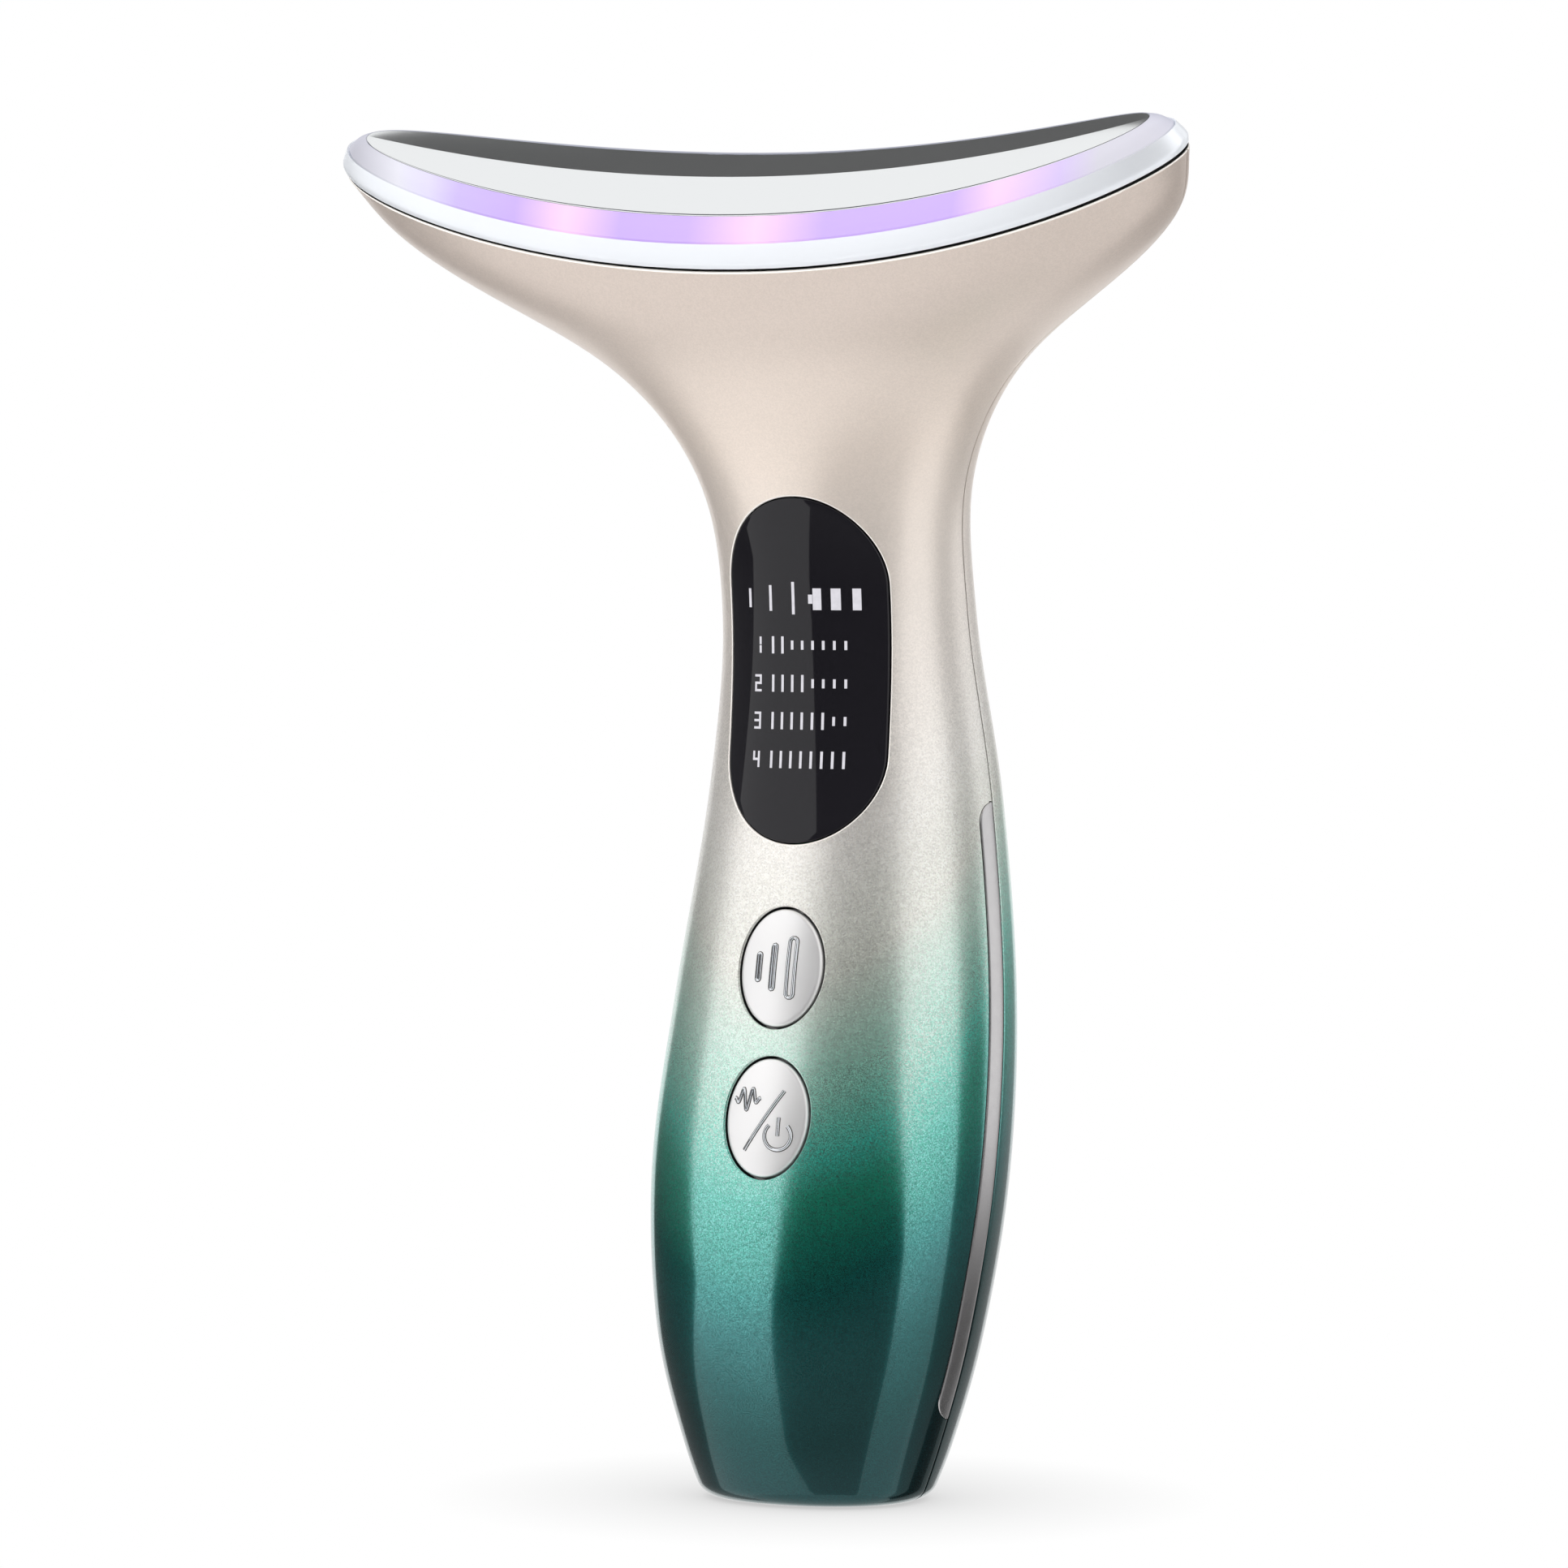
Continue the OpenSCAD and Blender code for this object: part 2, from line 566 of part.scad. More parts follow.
// The flange lies behind the thickest place of the wall over the whole oval.
function flange_front(zc) = max(skin_depth(button_w / 2 + cap_flange, zc),
    skin_depth(0, zc + button_h / 2 + cap_flange),
    skin_depth(0, zc - button_h / 2 - cap_flange)) + wall + stop_gap;
function cap_loop(zc, share, proud) = [for (k = [0 : OVAL_CAP_STEPS - 1])
    let (p = share * oval(button_w, button_h, k), y = skin_depth(p[0], zc + p[1]) - proud)
    board_point(p[0], y, zc + p[1])];
function flat_loop(zc, grow, y) = [for (k = [0 : OVAL_CAP_STEPS - 1])
    let (p = oval(button_w + 2 * grow, button_h + 2 * grow, k))
    board_point(p[0], y, zc + p[1])];
// The cap's rim lies just under the skin, and its face is crowned.
cap_crown = 0.45;
rim_low = 0.3;
rim_high = 0.05;
module cap(zc) {
    f = flange_front(zc);
    loft(reversed([flat_loop(zc, cap_flange, f + flange_t), flat_loop(zc, cap_flange, f),
        flat_loop(zc, 0, f), cap_loop(zc, 1, -rim_low), cap_loop(zc, 0.97, -rim_high),
        for (s = [0.8, 0.55, 0.3, 0.05]) cap_loop(zc, s, cap_crown * (1 - s * s))]));
    // Stem from the flange to the switch's plunger.
    board_frame() translate([0, f + flange_t - slip, zc]) rotate([-90, 0, 0])
        cylinder(h = slip - plunger_top - f - flange_t, r = stem_r);
}
module level_button() color(bright) cap(button_pitch);
module power_button() color(bright) cap(0);

// Tact switch soldered to the board, with a bore for its plunger.
switch_side = 6;
plunger_r = 1.2;
plunger_fit = 0.06;
switch_floor = 0.3;
plunger_low = switch_floor + button_travel + seat;
module tact_switch(zc) board_frame() difference() {
    translate([-switch_side / 2, -switch_h - bond, zc - switch_side / 2])
        cube([switch_side, switch_h, switch_side]);
    translate([0, -switch_floor, zc]) rotate([90, 0, 0])
        cylinder(h = switch_h + 1, r = plunger_r + plunger_fit);
}
module plunger(zc) board_frame() translate([0, -plunger_low, zc]) rotate([90, 0, 0])
    cylinder(h = plunger_top - plunger_low, r = plunger_r);
module level_switch() color(tin) tact_switch(button_pitch);
module power_switch() color(tin) tact_switch(0);
module level_plunger() color(moulded_black) plunger(button_pitch);
module power_plunger() color(moulded_black) plunger(0);

// ---- Main board and what is soldered to it ----
screw_r = 0.7;
screw_len = 2.5;
screw_head_r = 1.4;
screw_head_h = 0.9;
module main_board() {
    color(board_green) board_frame() difference() {
        translate([-board_w / 2, 0, board_low]) cube([board_w, board_t, board_len]);
        for (x = [-boss_x, boss_x], z = BOSS_Z) translate([x, board_t + 1, z])
            rotate([90, 0, 0]) cylinder(h = board_t + 2, r = screw_r + slip);
    }
}

// Bosses of the front shell that the board is screwed to, rooted inside its wall.
module board_bosses() board_frame() for (x = [-boss_x, boss_x], z = BOSS_Z)
    translate([x, -seat / 2, z]) rotate([90, 0, 0])
        cylinder(h = -max(skin_depth(x, z - boss_r), skin_depth(x, z + boss_r),
            skin_depth(x + sign(x) * boss_r, z)) - wall * 0.45, r = boss_r);
module boss_bores() board_frame() for (x = [-boss_x, boss_x], z = BOSS_Z)
    translate([x, 1, z]) rotate([90, 0, 0]) cylinder(h = screw_len + 1.5, r = screw_r + 0.02);

module board_screws() {
    color(tin) board_frame() for (x = [-boss_x, boss_x], z = BOSS_Z)
        translate([x, board_t + bond, z]) {
            rotate([-90, 0, 0]) cylinder(h = screw_head_h, r = screw_head_r);
            translate([0, bond, 0]) rotate([90, 0, 0])
                cylinder(h = board_t + screw_len, r = screw_r);
        }
}

chip_side = 7;
chip_t = 1.2;
module controller_chip() color(gloss_black) board_frame()
    translate([-chip_side / 2, board_t + bond, window_board_z - chip_side])
        cube([chip_side, chip_t, chip_side]);

coil_r = 3.5;
coil_h = 3.4;
coil_z = 6;
module boost_coil() color([0.55, 0.3, 0.15]) board_frame()
    translate([0, board_t + bond, window_board_z + coil_z]) rotate([-90, 0, 0])
        difference() {
            cylinder(h = coil_h, r = coil_r);
            translate([0, 0, coil_h * 0.75]) cylinder(h = coil_h, r = coil_r * 0.3);
        }

// ---- Charging socket in the base ----
usb_w = 8.94;
usb_t = 3.26;
usb_len = 7.3;
usb_wall = 0.3;
usb_z = 0.3;
tongue = [6.6, 0.7];
charge_y = usb_t / 2 + bond;
charge_t = 1;
charge_w = 15;
charge_top = 17;
module usb_socket() {
    color(tin) translate([0, 0, usb_z]) {
        difference() {
            linear_extrude(usb_len) rotate(90) stadium(usb_t, usb_w);
            translate([0, 0, -1]) linear_extrude(usb_len - 0.2)
                rotate(90) stadium(usb_t - 2 * usb_wall, usb_w - 2 * usb_wall);
        }
        translate([-tongue[0] / 2, -tongue[1] / 2, 0.8])
            cube([tongue[0], tongue[1], usb_len - 1]);
    }
}
module charge_board() color(board_green)
    translate([-charge_w / 2, charge_y, floor_t + slip])
        cube([charge_w, charge_t, charge_top - floor_t]);

// ---- Battery ----
battery_drop = 9;
battery_back = 8.3;
battery_round = 2.5;
battery_z = belly_z - battery_drop;
battery_y = board_y + battery_back;
pad_t = 1.5;
pad_in = 3;
module battery_cell() color([0.75, 0.77, 0.8])
    translate([0, battery_y + battery_t / 2, battery_z]) linear_extrude(battery_h)
        rounded(battery_w, battery_t, battery_round);
module rounded(w, d, r) {
    square([w - 2 * r, d], center = true);
    square([w, d - 2 * r], center = true);
    for (x = [-1, 1], y = [-1, 1]) translate([x * (w / 2 - r), y * (d / 2 - r)])
        circle(r = r);
}
module battery_pad() color(foam_grey)
    translate([-battery_w / 2 + pad_in, battery_y + battery_t + bond, battery_z + pad_in])
        cube([battery_w - 2 * pad_in, pad_t, battery_h - 2 * pad_in]);

// Ribs of the rear shell: two behind the battery pad, two behind the charging board.
rib_w = 12;
rib_t = 1.4;
rib_in = 6;
module rib(z, y, w) {
    back = rear_y(w / 2, z) - wall * 0.5;
    translate([-w / 2, y, z]) cube([w, back - y, rib_t]);
}
module rear_ribs() {
    pad_y = battery_y + battery_t + pad_t + 2 * bond;
    for (z = [battery_z + rib_in, battery_z + battery_h - rib_in - rib_t])
        rib(z, pad_y, rib_w);
    rib(charge_top - 3 * rib_t, charge_y + charge_t + bond, rib_w * 0.8);
}

// ---- Side strips ----
strip_t = 1;
strip_proud = 0.1;
strip_gap = 0.15;
stud_r = 1;
stud_len = 2.4;
STRIP_STEPS = 20;
stud_z = strip_z + strip_len * 0.55;
function side_point(side, v, z, inset) = let (s = row_at(z),
    x = s[3] * pow(max(0, 1 - pow(abs(v) / s[4], squareness)), 1 / squareness))
    [side * (x - inset), s[1] + v * cos(s[2]), z + v * sin(s[2])];
// Front edge of a strip with round front corners: full width away from its ends.
corner_r = 3.4;
function strip_width(d) = d >= corner_r ? strip_w
    : strip_w - corner_r + sqrt(pow(corner_r, 2) - pow(corner_r - d, 2));
function strip_loop(side, d, grow, outer, inner) = let (z = strip_z + d,
    w = strip_width(max(0.1, min(d, strip_len - d))) + grow,
    v0 = grow > 0 ? 0 : -part_gap / 2 - bond, v1 = -part_gap / 2 - w,
    vs = [for (t = [0 : 0.25 : 1]) mix(v0, v1, t)],
    loop = concat([for (v = vs) side_point(side, v, z, outer)],
        [for (k = [4 : -1 : 0]) side_point(side, vs[k], z, inner)]))
    side > 0 ? loop : reversed(loop);
module strip_body(side, grow, outer, inner) loft([for (k = [0 : STRIP_STEPS])
    let (d = strip_len * (1 - cos(180 * k / STRIP_STEPS)) / 2,
    e = grow == 0 ? 0 : k == 0 ? -grow : k == STRIP_STEPS ? grow : 0)
    [for (p = strip_loop(side, d, grow, outer, inner)) p + [0, 0, e]]]);
// The stud starts just inside the strip.
stud_x = side_point(1, -strip_w / 2, stud_z, strip_t)[0] + slip;
stud_y = row_at(stud_z)[1] - strip_w / 2 - slip;
module strip_stud(side, r, length) translate([side * (stud_x - length), stud_y, stud_z])
    rotate([0, side * 90, 0]) cylinder(h = length, r = r);
module strip(side) {
    strip_body(side, 0, -strip_proud, strip_t);
    strip_stud(side, stud_r, stud_len);
}
module left_strip() color(bright) strip(-1);
module right_strip() color(bright) strip(1);

// ---- Shells with their openings ----
cut_depth = 8;
window_cut = [front_y(0, window_z) - cut_depth / 2,
    front_y(window_w / 2 + window_gap, window_z) + 2 * wall];
module front_shell() {
    color(champagne) difference() {
        union() {
            half_shell(-1);
            board_bosses();
        }
        boss_bores();
        translate([0, window_cut[0], window_z]) rotate([-90, 0, 0])
            linear_extrude(window_cut[1] - window_cut[0])
            stadium(window_w + 2 * window_gap, window_h + 2 * window_gap);
        board_frame() for (zc = [0, button_pitch]) translate([0, -cut_depth / 2, zc])
            rotate([90, 0, 0]) linear_extrude(cut_depth)
            polygon([for (k = [0 : OVAL_CAP_STEPS - 1])
            oval(button_w + 2 * button_gap, button_h + 2 * button_gap, k)]);
        for (side = [-1, 1]) {
            strip_body(side, strip_gap, -2, strip_t + bond);
            strip_stud(side, stud_r + seat, stud_len + wall * 2);
        }
        usb_slot();
    }
}
module usb_slot() translate([0, 0, -1]) linear_extrude(floor_t + 2) rotate(90)
    stadium(usb_t + 2 * slip, usb_w + 2 * slip);

module rear_shell() {
    color(teal) difference() {
        union() {
            half_shell(1);
            rear_ribs();
        }
        usb_slot();
    }
}

// ---- Leads ----
// Round lead through a list of points, drawn by hand as a smooth run.
LEAD_SIDES = 6;
function unit(v) = v / norm(v);
function bend(p, t) = let (n = len(p) - 1, i = min(floor(t * n), n - 1), u = t * n - i,
    a = i == 0 ? 2 * p[0] - p[1] : p[i - 1], d = i == n - 1 ? 2 * p[n] - p[n - 1] : p[i + 2])
    spline(a, p[i], p[i + 1], d, u);
module lead(points, r, steps = 9) {
    path = [for (k = [0 : steps]) bend(points, k / steps)];
    loft([for (k = [0 : steps]) let (t = unit(path[min(k + 1, steps)] - path[max(k - 1, 0)]),
        u = unit(cross(t, [0.13, 0.2, 1])), w = cross(t, u))
        [for (j = [0 : LEAD_SIDES - 1]) path[k]
        + r * (cos(360 * j / LEAD_SIDES) * u - sin(360 * j / LEAD_SIDES) * w)]]);
}
lead_r = 0.5;
lead_x = 3;
lead_end = lead_r + seat;
module battery_leads() for (s = [-1, 1]) color(s < 0 ? "firebrick" : moulded_black) {
    top = [s * lead_x, battery_y + battery_t / 2, battery_z + battery_h + lead_r];
    low = board_point(s * lead_x, board_t + lead_end, button_pitch + button_h / 2 + 3);
    lead([top, top + [0, -1, 3], low + [0, 2.5, 1.5], low], lead_r);
}
module head_leads() for (s = [-1, 1]) color(s < 0 ? "firebrick" : moulded_black) {
    low = board_point(s * lead_x, board_t + lead_end, board_top - 3);
    top = motor_point(motor_x0 - lead_end) + [0, s * 1.2, 0];
    lead([low, low + [0, 1.8, 4], top + [-4 + s, 2, -6], top + [-2, 0, 0], top], lead_r);
}
module strip_leads() for (s = [-1, 1]) color("goldenrod") {
    out = [s * (stud_x - stud_len - lead_r), stud_y, stud_z];
    in = board_point(s * (board_w / 2 + lead_r), board_t / 2, button_pitch / 2 + boss_r);
    lead([in, mix(in, out, 0.5) + [0, 1, 1], out], lead_r, 8);
}
module charge_leads() for (s = [-1, 1]) color(s < 0 ? "firebrick" : moulded_black) {
    low = [s * lead_x, charge_y + charge_t + lead_end, charge_top - 1];
    top = board_point(s * lead_x, board_t + lead_end, board_low + 2);
    lead([low, low + [0, 0.6, 6], top + [0, 0.8, -6], top], lead_r);
}

front_shell();
rear_shell();
head_trim();
light_ring();
contact_plate();
heater_pad();
plate_carrier();
led_board();
ring_leds();
motor_cradle();
motor_can();
motor_shaft();
eccentric_weight();
display_window();
display_frame();
display_leds();
level_button();
level_switch();
level_plunger();
power_button();
power_switch();
power_plunger();
main_board();
board_screws();
controller_chip();
boost_coil();
charge_board();
usb_socket();
battery_cell();
battery_pad();
left_strip();
right_strip();
battery_leads();
head_leads();
strip_leads();
charge_leads();
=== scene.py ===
"""Facial toning wand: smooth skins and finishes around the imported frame.

Sizes are in millimetres until a mesh is made. The origin is the centre of the flat base,
+Z runs up the handle, -Y is the side with the display and +X is that side's right.
"""
import functools
import json
import math

import bmesh
import bpy
import numpy as np
from mathutils import Matrix, Vector

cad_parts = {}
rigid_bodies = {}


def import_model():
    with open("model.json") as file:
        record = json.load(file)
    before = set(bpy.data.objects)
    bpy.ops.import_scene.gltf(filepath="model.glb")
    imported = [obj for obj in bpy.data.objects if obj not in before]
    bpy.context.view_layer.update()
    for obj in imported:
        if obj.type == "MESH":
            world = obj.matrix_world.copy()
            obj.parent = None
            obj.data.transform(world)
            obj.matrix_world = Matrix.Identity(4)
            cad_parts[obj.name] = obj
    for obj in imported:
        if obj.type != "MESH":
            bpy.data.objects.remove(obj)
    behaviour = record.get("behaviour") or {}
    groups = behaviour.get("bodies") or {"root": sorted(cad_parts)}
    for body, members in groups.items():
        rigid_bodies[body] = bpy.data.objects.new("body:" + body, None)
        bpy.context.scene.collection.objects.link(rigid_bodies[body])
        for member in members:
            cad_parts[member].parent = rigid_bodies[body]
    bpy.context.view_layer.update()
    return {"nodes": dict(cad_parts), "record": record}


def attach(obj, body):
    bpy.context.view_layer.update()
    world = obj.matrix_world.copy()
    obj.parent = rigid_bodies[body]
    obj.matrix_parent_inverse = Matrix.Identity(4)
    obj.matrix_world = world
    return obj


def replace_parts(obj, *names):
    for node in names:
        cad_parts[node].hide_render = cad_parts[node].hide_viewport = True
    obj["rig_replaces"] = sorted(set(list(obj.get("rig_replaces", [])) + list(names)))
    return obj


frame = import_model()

MM = 0.001


def mix(a, b, t):
    return a + (b - a) * t


# ---- Sizes in millimetres, as the construction has them ----
BASE_W, BASE_D, BASE_EDGE_R = 25.8, 22.0, 1.5
BELLY_W, BELLY_D, BELLY_Z = 40.8, 34.0, 36.0
NECK_W, NECK_D, NECK_Z = 29.0, 24.2, 98.0
GRIP_BACK = 10.0
WALL, FLOOR_T, PART_GAP = 1.8, 1.8, 0.2
HEAD_W, HEAD_D, HEAD_TILT, HEAD_Z, HEAD_REACH, HEAD_SAG = 102.8, 20.4, 33.4, 141.5, 10.6, 8.4
TRIM_H, RING_W, RIDGE_H, PLATE_T = 3.2, 3.0, 1.6, 1.2
WINDOW_W, WINDOW_H, WINDOW_Z, WINDOW_T = 19.4, 38.2, 92.3, 1.4
BUTTON_W, BUTTON_H, POWER_Z, BUTTON_PITCH, BUTTON_GAP = 10.0, 13.2, 43.2, 16.7, 0.25
STRIP_Z, STRIP_LEN = 9.5, 68.0
BOARD_LEAN, BOARD_DEPTH = 11.6, 7.0
SQUARENESS = 2.14


# ---- The body's skin: a loft through sections, bowed at the head ----
def section(z, y, tilt, width, front, rear):
    return np.array([z, y, tilt, width / 2, front, rear])


STATIONS = [
    section(0, 0, 0, BASE_W, BASE_D / 2, BASE_D / 2),
    section(BELLY_Z * 0.14, 0.1, -2, mix(BASE_W, BELLY_W, 0.25),
            mix(BASE_D, BELLY_D, 0.38) / 2, mix(BASE_D, BELLY_D, 0.42) / 2),
    section(BELLY_Z * 0.5, GRIP_BACK * 0.05, -4, mix(BASE_W, BELLY_W, 0.74),
            mix(BASE_D, BELLY_D, 0.75) / 2, mix(BASE_D, BELLY_D, 0.8) / 2),
    section(BELLY_Z, GRIP_BACK * 0.32, -4.5, BELLY_W, BELLY_D / 2, BELLY_D / 2),
    section(mix(BELLY_Z, NECK_Z, 0.32), GRIP_BACK * 0.75, -4.3, mix(BELLY_W, NECK_W, 0.17),
            BELLY_D * 0.512, mix(BELLY_D, NECK_D, 0.24) / 2),
    section(mix(BELLY_Z, NECK_Z, 0.68), GRIP_BACK, -3.2, mix(BELLY_W, NECK_W, 0.63),
            mix(BELLY_D, NECK_D, 0.27) / 2, mix(BELLY_D, NECK_D, 0.74) / 2),
    section(NECK_Z, GRIP_BACK * 0.83, -1, NECK_W, NECK_D * 0.55, NECK_D * 0.45),
    section(mix(NECK_Z, HEAD_Z, 0.37), GRIP_BACK * 0.42, 3, mix(NECK_W, HEAD_W, 0.05),
            NECK_D * 0.47, NECK_D * 0.415),
    section(mix(NECK_Z, HEAD_Z, 0.64), mix(GRIP_BACK, -HEAD_REACH, 0.53), HEAD_TILT * 0.24,
            mix(NECK_W, HEAD_W, 0.32), HEAD_D * 0.52, HEAD_D * 0.5),
    section(mix(NECK_Z, HEAD_Z, 0.83), mix(GRIP_BACK, -HEAD_REACH, 0.8), HEAD_TILT * 0.57,
            mix(NECK_W, HEAD_W, 0.875), HEAD_D * 0.51, HEAD_D * 0.52),
    section(HEAD_Z, -HEAD_REACH, HEAD_TILT, HEAD_W, HEAD_D / 2, HEAD_D / 2),
]


def spline(a, b, c, d, t):
    """Uniform Catmull-Rom between b and c."""
    return 0.5 * (2 * b + (c - a) * t + (2 * a - 5 * b + 4 * c - d) * t ** 2
                  + (3 * b - a - 3 * c + d) * t ** 3)


def loft_rows(steps=24, beyond=80):
    """Rows along the spline, carried on straight past both ends."""
    ends = [2 * STATIONS[0] - STATIONS[1], *STATIONS, 2 * STATIONS[-1] - STATIONS[-2]]
    rows = [spline(*ends[i:i + 4], k / steps)
            for i in range(len(STATIONS) - 1) for k in range(steps)]
    rows.append(STATIONS[-1])
    low = rows[0] + beyond * (rows[0] - rows[1])
    high = rows[-1] + beyond * (rows[-1] - rows[-2])
    return np.array([low, *rows, high])


# The loft is eased over a few millimetres, so that a reflection runs on without a kink.
EASE = {-3.0: 1, -1.5: 2, 0.0: 3, 1.5: 2, 3.0: 1}
SKIN_STEP = 0.25


def eased_rows():
    rows = loft_rows()
    heights = np.arange(-1, HEAD_Z + 4, SKIN_STEP)
    total = sum(EASE.values())
    columns = [sum(share * np.interp(heights + shift, rows[:, 0], rows[:, k])
                   for shift, share in EASE.items()) / total for k in range(1, 6)]
    return np.column_stack([heights, *columns])


SKIN = eased_rows()


@functools.lru_cache(maxsize=None)
def section_at(z):
    """Height, middle depth, tilt in radians, half width, depth in front, depth behind."""
    y, tilt, half, front, rear = (float(np.interp(z, SKIN[:, 0], SKIN[:, k])) for k in range(1, 6))
    return z, y, math.radians(tilt), half, front, rear


def bent(c):
    """Turns a circle's sine or cosine into that of the slightly squarer sections."""
    return math.copysign(abs(c) ** (2 / SQUARENESS), c)


BOW = HEAD_SAG / (HEAD_W / 2) ** 2
FADE_LOW = NECK_Z * 0.97
FADE_HIGH = mix(NECK_Z, HEAD_Z, 0.88)


def placed(row, x, v):
    """A point of a section, with the head's tips swept up."""
    z, y, tilt = row[:3]
    t = min(1, max(0, (z - FADE_LOW) / (FADE_HIGH - FADE_LOW)))
    w = BOW * t * t * (3 - 2 * t) * x * x
    return Vector((x, y + v * math.cos(tilt) - w * math.sin(tilt),
                   z + v * math.sin(tilt) + w * math.cos(tilt)))


def share_left(x, half):
    """How much of a section's depth is left at a place across it."""
    return max(0, 1 - (abs(x) / half) ** SQUARENESS) ** (1 / SQUARENESS)


def front_y(x, z):
    """Depth of the front skin over a point of the front face."""
    row = section_at(z)
    # A few rounds settle on the section whose front lies at this height.
    for _ in range(3):
        v = -row[4] * share_left(x, row[3])
        row = section_at(round(z - v * math.sin(row[2]), 3))
    return row[1] - row[4] * share_left(x, row[3]) * math.cos(row[2])


# ---- The leaning frame of the board, which the buttons are square to ----
LEAN = math.radians(BOARD_LEAN)
BOARD_Y = front_y(0, POWER_Z) + BOARD_DEPTH * math.cos(LEAN)
BOARD_Z = POWER_Z - BOARD_DEPTH * math.sin(LEAN)


def board_point(x, y, z):
    return Vector((x, BOARD_Y + y * math.cos(LEAN) + z * math.sin(LEAN),
                   BOARD_Z - y * math.sin(LEAN) + z * math.cos(LEAN)))


def skin_depth(x, z):
    """Depth of the skin in front of the board, in the board's own frame."""
    y = -BOARD_DEPTH
    for _ in range(4):
        p = board_point(x, y, z)
        y += (front_y(x, p.z) - p.y) * math.cos(LEAN)
    return y


# ---- The tilted and bowed frame of the head ----
TILT = math.radians(HEAD_TILT)


def head_point(x, v, h):
    """X runs along the head, v to the rear of it and h out of the contact plate."""
    w = BOW * x * x + h
    return Vector((x, v * math.cos(TILT) - w * math.sin(TILT) - HEAD_REACH,
                   v * math.sin(TILT) + w * math.cos(TILT) + HEAD_Z))


def height_on_head(x, y, z):
    """How far a point lies out of the bowed seam between the shells and the trim."""
    return (z - HEAD_Z) * math.cos(TILT) - (y + HEAD_REACH) * math.sin(TILT) - BOW * x * x


# ---- Materials ----
def paint(code):
    """A colour written as an sRGB hex code, as linear red, green, blue and alpha."""
    channels = [int(code[k:k + 2], 16) / 255 for k in (1, 3, 5)]
    return (*[c / 12.92 if c <= 0.04045 else ((c + 0.055) / 1.055) ** 2.4 for c in channels], 1)


def add(material, kind, inputs=None, **settings):
    """Adds a node with its settings, and gives its inputs values or other nodes' outputs."""
    tree = material.node_tree
    node = tree.nodes.new("ShaderNode" + kind)
    for name, value in settings.items():
        setattr(node, name, value)
    for name, value in (inputs or {}).items():
        if isinstance(value, bpy.types.NodeSocket):
            tree.links.new(value, node.inputs[name])
        else:
            node.inputs[name].default_value = value
    return node


def blank(name, kind=bpy.data.materials):
    made = kind.new(name)
    made.use_nodes = True
    made.node_tree.nodes.clear()
    return made


def set_stops(ramp, stops):
    """Gives a colour ramp its stops, as places from 0 to 1 and hex colours."""
    elements = ramp.color_ramp.elements
    while len(elements) < len(stops):
        elements.new(0.5)
    for element, (place, code) in zip(elements, sorted(stops.items())):
        element.position = place
        element.color = paint(code)


# Widths in millimetres of a metal flake and of a glint. A real glint is one flake, and it is
# drawn as wide as a clump of them so that it shows.
FLAKE, GLINT = 0.03, 0.16
# Width of the drifts of the spray, and how far the fade shifts up and down between them.
DRIFT, DRIFT_SHIFT = 16.67, 6.0
# The fade, by the height in millimetres over where it starts: the tinted base of the
# lacquer, its pale flakes, how much of a metal each of the two is, as greys, and how
# strongly the flakes glint.
FADE_START, FADE_RUN = 12.0, 140.0
TINT_FADE = {2: "#133D41", 9: "#154648", 15: "#1B5857", 21: "#1B6562", 26: "#126E66",
             31: "#0A8870", 36: "#0AA27E", 40: "#30CEB6", 44: "#6CD1BA", 49: "#A6DAC5",
             56: "#DEE3D6", 66: "#EDE9E2", 78: "#EBE4DD", 110: "#E6D9CE", 138: "#D4C6BC"}
FLAKE_FADE = {2: "#1F5253", 9: "#225B5A", 15: "#346E6F", 21: "#559798", 26: "#6CBDBA",
              31: "#89D4D1", 36: "#A5E4E6", 40: "#D5DFDD", 44: "#F4EEEC", 49: "#FBF9F9",
              56: "#F7F1F0", 66: "#F9F7F3", 78: "#F0EAE4", 110: "#EADDD2", 138: "#D7CAC1"}
TINT_METAL = {10: "#EDEDED", 24: "#DCDCDC", 38: "#DCDCDC", 50: "#CBCBCB", 100: "#AAAAAA"}
FLAKE_METAL = {55: "#FFFFFF", 100: "#E1E1E1"}
GLITTER = {0: "#6A6A6A", 22: "#A6A6A6", 56: "#A6A6A6", 90: "#505050"}
# Roughness where the lacquer is dark and where it is pale, and the least of the tinted base.
DARK_ROUGH, PALE_ROUGH, TINT_ROUGH = 0.12, 0.37, 0.28
# How much clear coat shows where it is dark and where it is pale.
DARK_COAT, PALE_COAT = 0.6, 0.1
# Where the roughness and the coat change, as heights over the fade's start.
ROUGH_FROM, ROUGH_TO, COAT_FROM, COAT_TO = 27, 60, 36, 72


